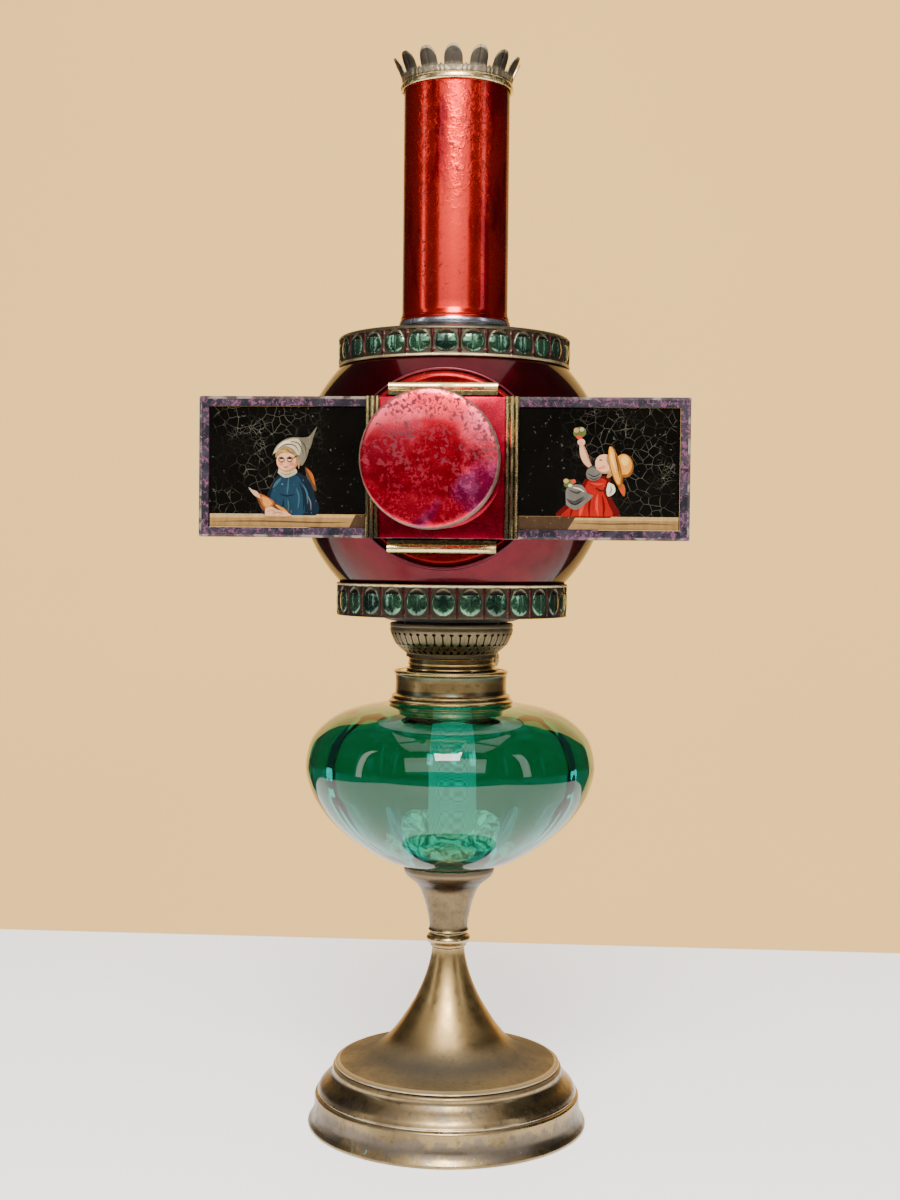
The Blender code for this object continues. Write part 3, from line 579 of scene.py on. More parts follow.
# ---- foot and stem
foot = {
    "plinth": flow([(57.5, 31.0), (60.0, 31.8), (61.5, 31.4), (62.1, 30.2), (62.1, 29.0)], 5)
    + flow([(62.5, 27.6), (64.2, 25.6), (66.6, 23.4), (68.8, 21.0), (69.8, 18.9)], 5)
    + flow([(70.1, 18.3), (69.7, 17.7), (70.3, 17.2), (71.1, 16.8), (71.6, 15.8), (71.6, 13.0)], 5)
    + flow([(71.8, 10.0), (72.4, 7.0), (73.5, 4.2), (74.6, 2.5), (75.2, 1.5), (75.1, 0.5), (74.5, 0.0)], 5)
    + [(73.9, 0.0), (73.3, 1.0), (71.6, 6.0), (70.4, 12.0), (70.2, 16.0), (68.0, 19.0), (65.2, 23.0), (61.2, 27.0)]
    + [(60.8, 29.8), (57.5, 29.9)],
    "cone": flow([(8.75, 95.2), (9.1, 91.5), (10.4, 85.5), (12.2, 79.5), (14.4, 73.8), (17.2, 67.8), (20.8, 61.5)], 5)
    + flow([(25.4, 54.4), (31.0, 47.4), (37.0, 41.8), (43.0, 38.2), (49.0, 36.0), (54.4, 35.0), (58.4, 34.2)], 5)
    + flow([(60.3, 33.3), (60.9, 32.8), (60.6, 32.4)], 3)
    + [(59.8, 32.2), (57.8, 33.0), (54.0, 33.8), (48.6, 34.8), (42.4, 37.0), (36.2, 40.8), (30.1, 46.6)]
    + [(19.8, 61.0), (13.4, 73.6), (9.5, 85.4), (7.8, 95.2)],
    "knop": [(3.2, 95.7), (9.0, 95.7)]
    + flow([(9.7, 96.0), (9.8, 96.8), (9.9, 97.3), (11.2, 98.2), (11.9, 99.9), (11.2, 101.6), (9.9, 102.5)], 5)
    + flow([(9.7, 103.0), (9.7, 103.5), (9.2, 103.7)], 3)
    + [(3.2, 103.7)],
    "cup": flow([(23.6, 140.0), (24.5, 139.7), (24.6, 138.6), (24.2, 136.4), (23.0, 134.4), (21.2, 132.8)], 5)
    + flow([(18.8, 131.0), (17.2, 129.6), (15.6, 127.0), (14.3, 123.8), (13.0, 120.2), (11.9, 116.4)], 5)
    + flow([(10.9, 111.5), (10.3, 107.5), (10.4, 105.6), (10.9, 104.6), (10.5, 104.1)], 4)
    + [(9.2, 104.1), (9.2, 108.0), (10.9, 117.6), (13.8, 126.6), (16.2, 130.6), (20.8, 133.8), (22.6, 136.2)]
    + [(23.2, 139.9)],
}


def makeFoot():
    for name, node in (("plinth", "foot_plinth"), ("cone", "foot_cone"), ("knop", "stem_knop"), ("cup", "stem_cup")):
        turnedPiece("foot" + name.capitalize(), node, "lamp", agedBrass, foot[name], 180)
    iron = Finish("castIron", Base_Color=(0.05, 0.045, 0.04, 1), Metallic=0.7)
    grain = iron.noise(700, 5)
    iron.done(Roughness=0.6 + 0.3 * (grain - 0.5), Normal=iron.bump(grain, 0.4, 0.0006))
    for node in ("base_weight", "tie_rod", "tie_nut"):
        refinish(node, iron.material)
    paper = Finish("basePaper", Roughness=0.85)
    fibre = paper.noise(420, 6, 0.7)
    stain = paper.noise(30, 4).over(0.55, 0.12)
    shade = paper.mix(fibre, (0.16, 0.12, 0.075), (0.26, 0.21, 0.14))
    paper.done(Base_Color=paper.mix(stain * 0.6, shade, (0.07, 0.05, 0.035)), Normal=paper.bump(fibre, 0.2, 0.0003))
    refinish("base_cover", paper.material)
    plaster = Finish("plaster", Roughness=0.9)
    lumps = plaster.noise(180, 6, 0.7)
    shade = plaster.mix(lumps, (0.42, 0.38, 0.32), (0.66, 0.62, 0.54))
    plaster.done(Base_Color=shade, Normal=plaster.bump(lumps, 0.5, 0.0008))
    refinish("peg_cement", plaster.material)
    refinish("collar_cement", plaster.material)
    print("foot made")


def refinish(node, material):
    # a CAD piece keeps its shape and gets a finish
    piece = cad[node]
    piece.data.materials.clear()
    piece.data.materials.append(material)


makeFoot()

# ---- glass font: outline points are radius, height and how far the optic ribs stand in
font = {
    "outside": flow(
        [
            (26.8, 237.5, 0), (26.8, 229.0, 0), (29.5, 227.6, 0.1), (34, 227.2, 0.2), (40.1, 226.8, 0.3),
            (52.9, 224.2, 0.4), (63.6, 219.4, 0.5), (72.1, 211.9, 0.5), (75.9, 205.5, 0.5), (78, 195, 0.5),
            (76.9, 186.5, 0.5), (73.2, 176.9, 0.5), (66.8, 167.3, 0.4), (58.2, 158.7, 0.3), (47.6, 150.7, 0.2),
            (36.9, 144.3, 0.1), (29.4, 141.4, 0), (23.6, 140.5, 0), (20.2, 138.6, 0), (17.6, 135.4, 0),
            (14.5, 132.6, 0), (9.0, 131.8, 0), (0, 131.8, 0),
        ],
        4,
    ),
    "inside": flow(
        [
            (0, 144, 0), (20, 144.3, 0.2), (36, 149.0, 0.7), (50, 157.5, 1.1), (59, 165.2, 1.3), (65, 171.6, 1.5),
            (70.4, 179.0, 1.7), (73.3, 185, 1.8), (75, 195, 1.8), (73.9, 201.2, 1.8), (71.6, 207, 1.8),
            (67.6, 212.4, 1.7), (63, 216.2, 1.6), (57.4, 219.2, 1.5), (51.5, 221, 1.3), (39, 223.6, 0.9),
            (29.5, 224.3, 0.5), (25.0, 225.4, 0.2), (24, 228.0, 0), (24, 237.5, 0),
        ],
        4,
    ),
    "ribs": 12,
    "turn": 5.0,
    "colour": (0.005, 0.31, 0.27),
}


def makeFont():
    def stand(angle, point):
        # soft ribs on the inside only
        swing = math.cos(font["ribs"] * (angle - math.radians(font["turn"])))
        return 0 if point in outside else -point[2] * ((1 + swing) / 2) ** 2.5

    outside = set(font["outside"])
    mesh = lathe("glassFont", font["outside"] + font["inside"], 336, stand)
    glass = Finish("greenGlass", Base_Color=(*font["colour"], 1), Transmission_Weight=1.0, IOR=1.5)
    seeds = glass.noise(60, 2).over(0.60, 0.1)
    glass.done(Roughness=0.015 + 0.03 * seeds, Normal=glass.bump(glass.noise(34, 2), 0.10, 0.0012))
    addPiece("glassFont", mesh, glass.material, "lamp", "font")
    print("font made")


makeFont()

# ---- collar and burner
burnerBrass = brassFinish("burnerBrass", (0.42, 0.29, 0.12), (0.24, 0.17, 0.08), (0.06, 0.045, 0.03), 0.28, 0.55, 0.3)
basketBrass = brassFinish(
    "basketBrass", (0.095, 0.074, 0.042), (0.055, 0.047, 0.03), (0.016, 0.016, 0.012), 0.40, 0.5, 0.2,
    verdigris=(255, 262.5),
)
innerBrass = brassFinish("innerBrass", (0.22, 0.16, 0.08), (0.12, 0.09, 0.05), (0.03, 0.025, 0.02), 0.42, 0.45, 0.2)
burner = {
    "collar": [(28.4, 228.5), (31.6, 227.9), (33.2, 227.9)]
    + flow([(33.5, 228.3), (33.6, 228.9), (33.2, 229.6)], 4)
    + [(32.2, 230.2), (31.8, 230.6)]
    + flow([(32.0, 231.0), (32.1, 231.7), (31.6, 232.3), (30.4, 232.8)], 4)
    + [(30.0, 233.4), (29.95, 236.0), (29.9, 239.5), (29.9, 242.6)]
    + flow([(30.1, 243.2), (30.6, 243.9), (30.7, 244.7), (30.3, 245.4), (29.6, 245.6)], 4)
    + [(28.6, 245.3), (24.8, 245.3), (24.4, 244.9), (24.4, 238.6), (25.4, 238.6), (25.4, 243.9), (28.4, 243.9)],
    "drum": [(13.8, 245.9), (24.2, 245.9)]
    + flow([(24.6, 246.2), (24.5, 246.8), (23.6, 247.1), (22.9, 247.4)], 3)
    + [(22.9, 248.3)]
    + flow([(23.3, 248.6), (23.5, 249.1), (23.3, 249.6), (22.9, 249.9)], 3)
    + [(22.9, 251.6), (23.3, 252.0), (23.1, 252.4), (22.2, 252.4), (22.0, 251.8), (22.0, 246.9), (13.8, 246.9)],
    "slot": ((6, 13.4, 6), (16.5, 0, 246.4)),  # size and middle of the wick wheels' slot
    "spindle": {"x": 16.0, "z": 249.3, "radius": 1.4, "hole": 2.5},
    "knob": {"radius": 8.5, "from": 38.4, "to": 42.8, "knurls": 44},
}


def makeBurner():
    turnedPiece("fontCollar", "font_collar", "lamp", burnerBrass, burner["collar"], 180)
    spot = burner["spindle"]
    drum = lathe("burnerDrum", burner["drum"], 144)
    hole = rod(spot["hole"], -40, 0, (spot["x"], 0, spot["z"]), 32)
    drum = cutBy(drum, hole, boxMesh("slot", *burner["slot"]))
    wornPiece("burnerDrum", drum, burnerBrass, "burner", "burner_drum")
    for node in ("burner_plug", "wick_tube", "draught_tube", "air_duct", "wick_wheel_front", "wick_wheel_rear"):
        refinish(node, innerBrass)
    turn = Matrix.Translation((spot["x"] * mm, 0, spot["z"] * mm)) @ Matrix.Rotation(math.radians(-90), 4, "X")

    def crosswise(name, outline, sides):
        # turned about the spindle, with heights running to the back
        mesh = lathe(name, outline, sides)
        mesh.transform(turn)
        return mesh

    near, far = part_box("spindle_bush")[0].y / mm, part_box("spindle_bush")[1].y / mm
    bush = [(1.6, near), (2.1, near), (2.1, far - 1.6), (2.9, far - 1.4), (3.0, far - 0.8), (2.6, far), (1.6, far)]
    wornPiece("spindleBush", crosswise("spindleBush", bush, 48), burnerBrass, "burner", "spindle_bush")
    back = burner["knob"]["from"] - 0.4
    thick = spot["radius"]
    shaft = [(0, -8.5), (1.1, -8.5), (thick, -8.1), (thick, back - 0.4), (1.2, back), (0, back)]
    addPiece("wickSpindle", crosswise("wickSpindle", shaft, 40), innerBrass, "spindle", "wick_spindle")

    knob = burner["knob"]
    start, end, radius = knob["from"], knob["to"], knob["radius"]
    outline = [(0, start), (3.4, start), (3.6, start + 0.5), (5.6, start + 0.9), (radius - 0.9, start + 1.0)]
    outline += [(radius - 0.1, start + 1.5), (radius, start + 2.0), (radius, end - 1.0), (radius - 0.3, end - 0.5)]
    outline += [(radius - 1.0, end - 0.2), (radius - 1.6, end - 0.7), (3.2, end - 0.9), (2.0, end - 0.2), (0, end)]

    def knurl(angle, point):
        return -0.3 * (1 + math.cos(angle * knob["knurls"])) / 2 if point[0] > radius - 0.4 else 0

    mesh = lathe("wickKnob", outline, knob["knurls"] * 6, knurl)
    mesh.transform(turn)
    wornPiece("wickKnob", mesh, burnerBrass, "spindle", "wick_knob")
    print("burner made")


makeBurner()

# ---- wick and the cotton round its foot
wick = {
    "inner": 9.9,
    "outer": 11.5,
    "bottom": 156.0,
    "top": 294.5,
    "gap": 80,  # degrees left open at the back of the roll
    "held": 228,  # below this height the wick hangs free and ripples
    "scorch": 292.5,
    "wad": (13.7, 33.6, 145.4, 158.8),  # inner and outer radius, bottom and top
}


def makeWick():
    middle = (wick["inner"] + wick["outer"]) / 2
    height = wick["top"] - wick["bottom"]
    across, along = 84, 150
    shape = bmesh.new()
    sheets = []
    for side in (1, -1):
        rows = []
        for j in range(along + 1):
            z = wick["bottom"] + height * j / along
            hang = max(0.0, (wick["held"] - z) / (wick["held"] - wick["bottom"]))
            row = []
            for i in range(across + 1):
                u = i / across
                angle = math.radians(180 + wick["gap"] / 2 + (360 - wick["gap"]) * u)
                wave = hang * (0.7 * math.sin(5 * angle + 0.05 * z) + 0.5 * math.sin(z * 0.16 + 2 * angle))
                thread = 0.10 * math.sin(angle * 60) * math.sin(z * 2.2)
                r = middle + side * (wick["outer"] - wick["inner"]) / 2 + wave + side * thread
                row.append(ringPoint(shape, r, angle, z))
            rows.append(row)
        sheets.append(rows)
        joinRows(shape, rows)
    front, back = sheets
    for j in range(along):
        for i in (0, across):
            shape.faces.new((front[j][i], front[j + 1][i], back[j + 1][i], back[j][i]))
    for i in range(across):
        for j in (0, along):
            shape.faces.new((front[j][i], front[j][i + 1], back[j][i + 1], back[j][i]))
    mesh = meshOf("wickSheet", shape)
    # the cotton glows: painted light standing in for the light that reaches the wick through the glass
    cotton = Finish("wickCotton", Roughness=0.9, Sheen_Weight=0.4, Sheen_Roughness=0.5, Emission_Strength=1.1)
    x, y, z = cotton.axes()
    around = y.maths("ARCTAN2", y, x)
    weft = x.maths("SINE", around * 22) * x.maths("SINE", z * 1750)
    fibre = cotton.noise(900, 5, 0.7)
    scorch = z.over(wick["scorch"] * mm, 1.5 * mm)
    shade = cotton.mix((weft * 0.5 + 0.5) * 0.6 + fibre * 0.4, (0.60, 0.55, 0.42), (0.92, 0.88, 0.78))
    paintedGlow = cotton.mix((weft * 0.5 + 0.5) * 0.7 + fibre * 0.3, (0.06, 0.07, 0.03), (1.0, 1.0, 0.62))
    cotton.done(
        Base_Color=cotton.mix(scorch, shade, (0.02, 0.016, 0.012)),
        Emission_Color=cotton.mix(scorch, paintedGlow, (0, 0, 0)),
        Normal=cotton.bump(weft + fibre, 0.5, 0.0004),
    )
    piece = addPiece("wickSheet", mesh, cotton.material, "wick", "wick")

    inside, outside, bottom, top = wick["wad"]
    shape = bmesh.new()
    rounds, around = 120, 30
    rows = []
    for i in range(rounds):
        a = math.tau * i / rounds
        row = []
        for j in range(around):
            b = math.tau * j / around
            puff = noise.noise(Vector((math.cos(a) * 4 + 3, math.sin(a) * 4, b * 1.3)))
            fluff = noise.noise(Vector((math.cos(a) * 17, math.sin(a) * 17, math.cos(b) * 5)))
            swell = 0.88 + 0.12 * puff + 0.07 * fluff
            r = (inside + outside) / 2 + (outside - inside) / 2 * math.cos(b) * swell
            lift = (top - bottom) / 2 * math.sin(b) * swell
            floorAt = max(0.0, (r - 22) * 0.42)  # the glass rises towards the rim
            z = max((top + bottom) / 2 + lift, bottom + floorAt)
            row.append(ringPoint(shape, r, a, z))
        rows.append(row)
    joinRows(shape, rows + rows[:1], closed=True)
    # the loose cotton glows as well: painted light standing in for the light through the glass
    fluffy = Finish("looseCotton", Roughness=0.95, Sheen_Weight=0.6, Emission_Strength=1.9)
    strands = fluffy.noise(170, 8, 0.75, warp=0.8)
    shade = fluffy.mix(strands.over(0.5, 0.25), (0.60, 0.56, 0.46), (0.95, 0.92, 0.84))
    paintedGlow = fluffy.mix(strands.over(0.5, 0.07), (0.02, 0.04, 0.01), (1.0, 1.0, 0.60))
    fluffy.done(Base_Color=shade, Emission_Color=paintedGlow, Normal=fluffy.bump(strands, 0.8, 0.0015))
    wad = addPiece("cottonWad", meshOf("cottonWad", shape, 60), fluffy.material, "lamp", "cotton_wad")
    print("wick made")


makeWick()

# ---- pierced basket: one column of holes, carried round
basket = {
    "columns": 44,
    "bead": flow([(32.1, 268.6), (32.9, 268.9), (33.3, 269.8), (33.1, 270.8), (32.5, 271.2)], 3)
    + [(31.7, 271.2), (31.5, 268.6)],
    "rows": [
        # from and to along the bowl's outline; the hole's middle, half height, half width, waist;
        # and its shift in columns
        (2.2, 6.4, 4.2, 1.65, 0.95, 1.0, 0.0),
        (6.4, 9.0, 7.7, 0.60, 0.60, 1.0, 0.5),
        (9.0, 17.6, 13.2, 3.60, 1.15, 0.30, 0.0),
    ],
    "bowl": flow(
        [
            (23.7, 252.8), (23.7, 254.6), (24.3, 255.6), (26.0, 256.9), (29.5, 260.2), (31.3, 263.6),
            (32.5, 267.0), (32.3, 268.6),
        ],
        6,
    ),
    "wall": 0.7,
    "prongs": 8,
    "prongFloor": (14.2, 18.0, 22.0, 25.5, 27.5),
    "prongTurn": 0.4,  # how far the floor stands over the ring's underside
}


def alongLine(line):
    # a function from length along the line to the point there
    lengths = [0.0]
    for a, b in zip(line, line[1:]):
        lengths.append(lengths[-1] + math.dist(a, b))

    def at(length):
        length = min(max(length, 0.0), lengths[-1])
        for start, end, a, b in zip(lengths, lengths[1:], line, line[1:]):
            if length <= end:
                t = (length - start) / max(end - start, 1e-9)
                return tuple(p + (q - p) * t for p, q in zip(a, b))
        return line[-1]

    return at, lengths[-1]


def makeBasket():
    at, total = alongLine(basket["bowl"])
    pitch = math.tau / basket["columns"]
    sides = 8
    shape = bmesh.new()

    def put(u, v):
        # u across one column from 0 to 1, v along the bowl's profile
        r, z = at(v)
        return ringPoint(shape, r, u * pitch, z)

    def plain(start, end, steps):
        levels = [start + (end - start) * j / steps for j in range(steps + 1)]
        joinRows(shape, [[put(i / sides, v) for i in range(sides + 1)] for v in levels])

    for start, end, middle, tall, wide, waist, shift in basket["rows"]:
        frameLine, holeLine = [], []
        rise = 8
        climb = [(end - start) * i / rise for i in range(rise)]
        edge = [(i / sides, start) for i in range(sides)] + [(1, start + up) for up in climb]
        edge += [(1 - i / sides, end) for i in range(sides)] + [(0, end - up) for up in climb]
        for u, v in edge:
            turn = math.atan2((v - middle) / (end - start), (u - 0.5))
            up = math.sin(turn)
            span = wide * math.cos(turn)
            if waist < 1:  # a slot with a round eye at each end
                eye = math.sqrt(max(0.0, 1 - ((abs(up) - 0.80) / 0.20) ** 2))
                span = math.copysign(wide * max(waist if abs(up) < 0.8 else 0, eye), math.cos(turn))
            frameLine.append(put(u + shift, v))
            holeLine.append(put(0.5 + shift + span / (pitch * at(v)[0]), middle + tall * up))
        for i in range(len(edge)):
            j = (i + 1) % len(edge)
            shape.faces.new((frameLine[i], frameLine[j], holeLine[j], holeLine[i]))
    plain(0, basket["rows"][0][0], 10)
    plain(basket["rows"][-1][1], total, 4)
    bmesh.ops.remove_doubles(shape, verts=shape.verts, dist=1e-6)
    bmesh.ops.recalc_face_normals(shape, faces=shape.faces)
    if sum(f.normal.dot(f.calc_center_median()) for f in shape.faces) < 0:
        bmesh.ops.reverse_faces(shape, faces=shape.faces)
    unit = plainMesh("basketColumn", shape)
    mesh = ringOf("airBasket", unit, basket["columns"], basketBrass, wall=basket["wall"], weld=0.02)
    mesh = joined("airBasket", mesh, lathe("basketBead", basket["bead"], 160))
    wornPiece("airBasket", mesh, basketBrass, "air_basket", "basket")

    mesh = ringOf("prongRing", prongUnit(), basket["prongs"], innerBrass, wall=basket["wall"])
    addPiece("prongRing", mesh, innerBrass, "air_basket", "prong_ring")
    print("basket made")


def prongUnit():
    # one of the gallery's spring prongs, with its share of the ring's floor
    shape = bmesh.new()
    floorZ, topZ = low("prong_ring") + basket["prongTurn"], high("prong_ring")
    steps, span = 10, math.tau / basket["prongs"]
    radii = basket["prongFloor"]
    rows = [[ringPoint(shape, r, span * i / steps, floorZ) for i in range(steps + 1)] for r in radii]
    joinRows(shape, rows, turned=True)
    foot = rows[-1][1:-1]
    prong = [foot]
    for r, z in ((27.7, floorZ + 1.2), (27.6, floorZ + 4.0), (27.2, floorZ + 7.0), (27.1, topZ - 1.0), (27.4, topZ)):
        out = r / radii[-1]
        prong.append([shape.verts.new((v.co.x * out, v.co.y * out, z * mm)) for v in foot])
    joinRows(shape, prong)
    return plainMesh("prong", shape)


def joined(name, *meshes):
    shape = bmesh.new()
    for mesh in meshes:
        shape.from_mesh(mesh)
        bpy.data.meshes.remove(mesh)
    mesh = plainMesh(name, shape)
    smoothOff(mesh)
    return mesh


makeBasket()

# ---- lacquer: clear red over bright tin, so that it is metal below and gloss above
def lacquerFinish(name, deep, bright, speckle=0.0, wear=0.0, rough=0.24, grain=140, faded=None, coat=0.35):
    red = Finish(name, Metallic=0.92, Coat_Roughness=0.06, Coat_IOR=1.34, Specular_Tint=(0.10, 0.015, 0.02, 1))
    cloud = red.noise(16, 4, 0.6)
    mottle = red.noise(grain, 5, 0.6)
    sparkle = red.cells(1100)
    colour = red.mix((cloud * 0.55 + mottle * 0.45).over(0.5, 0.2), deep, bright)
    colour = red.mix(sparkle.under(0.12, 0.05) * 0.5, colour, [min(1.0, c * 3 + 0.03) for c in bright])
    if faded:  # the clear colour has thinned in long streaks, where the tin shows warmer
        streak = red.noise(60, 6, 0.65, red.stretch((1, 1, 0.22)), 0.4)
        patch = red.noise(22, 3, 0.5, red.stretch((1, 1, 0.5)))
        colour = red.mix((streak * 0.6 + patch * 0.4).over(0.50, 0.05) * 0.9, colour, faded)
    gloss = rough + 0.10 * (mottle - 0.5)
    skin = coat * (1 - 0.35 * red.noise(40, 5).over(0.62, 0.1))
    if speckle:
        dots = red.noise(520, 3, 0.6).over(0.66 - 0.05 * speckle, 0.03)
        clumps = red.noise(60, 5, 0.65).over(0.55, 0.08)
        spots = dots * (clumps * 0.75 + 0.25)
        colour = red.mix(spots * 0.9, colour, (0.03, 0.018, 0.02))
        gloss = gloss + spots * 0.25
    if wear:
        raised = red.attribute("edge").over(0.58, 0.05) * red.noise(120, 4).over(0.45, 0.1)
        colour = red.mix(raised * wear, colour, (0.34, 0.27, 0.27))
    height = mottle * 0.3 + red.noise(1100, 2) * 0.15
    if faded:
        z = red.height()
        height = height + red.noise(210, 4, 0.6).over(0.56, 0.10) * z.over(500, 30) * 3.0
        paleBands = z.under(431.8, 0.3)  # the lacquer stops short of the tube's lower edge
        colour = red.mix(paleBands, colour, (0.42, 0.45, 0.52))
    relief = red.bump(height, 0.12, 0.0004)
    return red.done(Base_Color=colour, Roughness=gloss.clip(), Coat_Weight=skin, Normal=relief)


def tinFinish(name, bright, dull, rough=0.34):
    tin = Finish(name, Metallic=1.0)
    cloud = tin.noise(45, 6, 0.65)
    fine = tin.noise(600, 4, 0.6)
    rust = tin.noise(120, 5, 0.7).over(0.66, 0.05)
    colour = tin.mix(cloud.over(0.5, 0.15), bright, dull)
    colour = tin.mix(rust * 0.6, colour, (0.16, 0.09, 0.05))
    colour = tin.mix(tin.attribute("edge").over(0.60, 0.05) * 0.5, colour, [min(1.0, c * 1.4) for c in bright])
    gloss = (rough + 0.25 * (cloud - 0.5) + rust * 0.3).clip()
    return tin.done(Base_Color=colour, Roughness=gloss, Normal=tin.bump(fine, 0.1, 0.0002))


ballLacquer = lacquerFinish("ballLacquer", (0.058, 0.0008, 0.004), (0.112, 0.003, 0.010), rough=0.24, coat=0.62)
collarLacquer = lacquerFinish(
    "collarLacquer", (0.085, 0.010, 0.020), (0.13, 0.022, 0.040), wear=0.35, rough=0.34, coat=0.2
)
discLacquer = lacquerFinish("discLacquer", (0.07, 0.0008, 0.0015), (0.12, 0.0015, 0.003), speckle=0.5, coat=0.15)
plateLacquer = lacquerFinish(
    "plateLacquer", (0.15, 0.0006, 0.009), (0.36, 0.002, 0.026), speckle=1.3, rough=0.27, coat=0.2
)
brightTin = tinFinish("brightTin", (0.62, 0.63, 0.66), (0.34, 0.35, 0.38))
darkTin = tinFinish("darkTin", (0.10, 0.095, 0.10), (0.04, 0.04, 0.045), 0.5)

# ---- adapter, plates and housing
housing = {
    "radius": 83.5,
    "wall": 1.0,
    "window": 50.5,
    "adapter": [(24.8, 261.6), (25.8, 261.6), (25.8, 271.7)]
    + flow(
        [(26.4, 272.2), (30.0, 272.4), (33.0, 272.3), (35.2, 272.9), (37.4, 273.8), (38.2, 274.2), (38.1, 274.7)], 4
    )
    + flow([(37.4, 274.7), (35.0, 274.2), (33.0, 273.2), (30.0, 273.2), (26.4, 273.3)], 4)
    + [(25.8, 273.6), (25.8, 280.0), (25.4, 280.6), (24.8, 280.6)],
    "topPlate": [(54.0, 423.1), (53.9, 422.2), (52.4, 422.0), (45.0, 423.6), (27.6, 424.8), (27.6, 426.0)]
    + [(45.0, 424.7)],
    "socket": [(26.2, 421.0), (27.0, 421.0), (27.0, 426.6)]
    + flow([(27.6, 426.5), (31.4, 426.4), (32.3, 426.7), (32.0, 427.4), (29.3, 428.3), (27.4, 428.5)], 4)
    + [(27.0, 429.0), (27.0, 441.6), (26.7, 442.0), (26.2, 442.0)],
    "reflector": (34.0, 9.0, 0.8),  # radius, depth and wall
    "reflectorBack": 56.1,
}
bands = {
    "repeats": 28,
    "columns": 48,
    "rise": 36,
    "radius": 61.4,
    "wall": 0.6,
    "boss": {"wide": 5.7, "tall": 5.2, "height": 1.15, "field": 12.4},
    "spear": 0.62,
    "bead": 1.5,
    "lip": 2.0,
}


def bandUnit(bottom, top, beadAtTop):
    # one repeat of the stamped band: a round boss under a hood, and half a spear at each side
    tall = top - bottom
    beadTall, lipTall = bands["bead"], bands["lip"]
    fieldLow, fieldHigh = (0.6, tall - beadTall - 0.3) if beadAtTop else (beadTall + 0.3, tall - 2.2)
    middle = (fieldLow + fieldHigh) / 2 - 0.2
    half = math.pi / bands["repeats"]
    reach = half * bands["radius"]
    boss = bands["boss"]
    bossTall = boss["tall"] * (fieldHigh - fieldLow) / boss["field"]

    def relief(u, v):
        # height over the ground, and which part it belongs to
        away = math.hypot(u / boss["wide"], (v - middle) / bossTall)
        height, jewel, spear = 0.0, 0.0, 0.0
        if away < 1:
            turn = math.atan2(v - middle, abs(u) + 0.001)
            dome = math.sqrt(1 - away**2)
            height = boss["height"] * dome * (0.94 + 0.06 * math.cos(9 * turn) * away)
            height -= 0.60 * math.exp(-((u / 0.55) ** 2)) * dome
            jewel = 1.0
        hood = math.hypot(u / (boss["wide"] - 1.4), (v - middle - 0.6) / bossTall)
        if v > middle + 2.2:
            height = max(height, 0.75 * math.exp(-(((hood - 1.10) / 0.08) ** 2)))
            # the hollow under the hood is marked -0.6 and painted near black: painted shade
            if away < 1.0 and v > middle + bossTall * 0.72:
                height, jewel = -0.25, -0.6
        side = reach - abs(u)
        share = (v - fieldLow) / (fieldHigh - fieldLow)
        width = 0.32
        for place, swell, size in ((0.96, 0.55, 0.05), (0.84, 0.85, 0.06), (0.72, 0.45, 0.05), (0.12, 0.7, 0.06)):
            width += swell * math.exp(-(((share - place) / size) ** 2))
        if side < width:
            height = max(height, bands["spear"] * math.sqrt(1 - (side / width) ** 2) + 0.1)
            spear = 1.0
        if beadAtTop:
            if v > tall - beadTall:
                height, jewel, spear = beadRelief(u, (v - tall + beadTall) / beadTall), 0.0, 0.0
            if v < 0.5:
                height = 0.5
        else:
            if v < beadTall:
                height, jewel, spear = beadRelief(u, v / beadTall), 0.0, 0.0
            if v > tall - lipTall:
                lean = (v - tall + lipTall) / lipTall
                height, jewel, spear = 0.75 * math.sqrt(max(0.0, 1 - lean**2)) - 1.2 * lean**2 + 0.2, 0.0, 0.0
        return height, jewel, spear

    def beadRelief(u, share):
        dome = math.sqrt(max(0.0, 1 - (2 * share - 1) ** 2))
        return dome * (0.85 + 0.12 * math.cos(u / reach * math.pi * 12))

    shape = bmesh.new()
    marks = {name: shape.verts.layers.float.new(name) for name in ("jewel", "spear", "height", "bead")}
    columns, rise = bands["columns"], bands["rise"]
    outer, inner = [], []
    for j in range(rise + 1):
        v = tall * j / rise
        row, back = [], []
        for i in range(columns + 1):
            u = -reach + 2 * reach * i / columns
            angle = u / bands["radius"]
            height, jewel, spear = relief(u, v)
            r = bands["radius"] + min(height, 1.4) * 0.85
            vertex = ringPoint(shape, r, angle, bottom + v)
            vertex[marks["jewel"]], vertex[marks["spear"]], vertex[marks["height"]] = jewel, spear, height
            inBead = v > tall - beadTall if beadAtTop else v < beadTall
            vertex[marks["bead"]] = 1.0 if inBead else 0.0
            row.append(vertex)
            if j % 6 == 0:  # the inside is plainer
                r = bands["radius"] - bands["wall"] + min(0.0, height)
                back.append(ringPoint(shape, r, angle, bottom + v))
        outer.append(row)
        if back:
            inner.append(back)
    joinRows(shape, outer)
    joinRows(shape, inner, turned=True)
    for i in range(columns):
        shape.faces.new((outer[0][i + 1], outer[0][i], inner[0][i], inner[0][i + 1]))
        shape.faces.new((outer[-1][i], outer[-1][i + 1], inner[-1][i + 1], inner[-1][i]))
    return plainMesh("bandRepeat", shape)


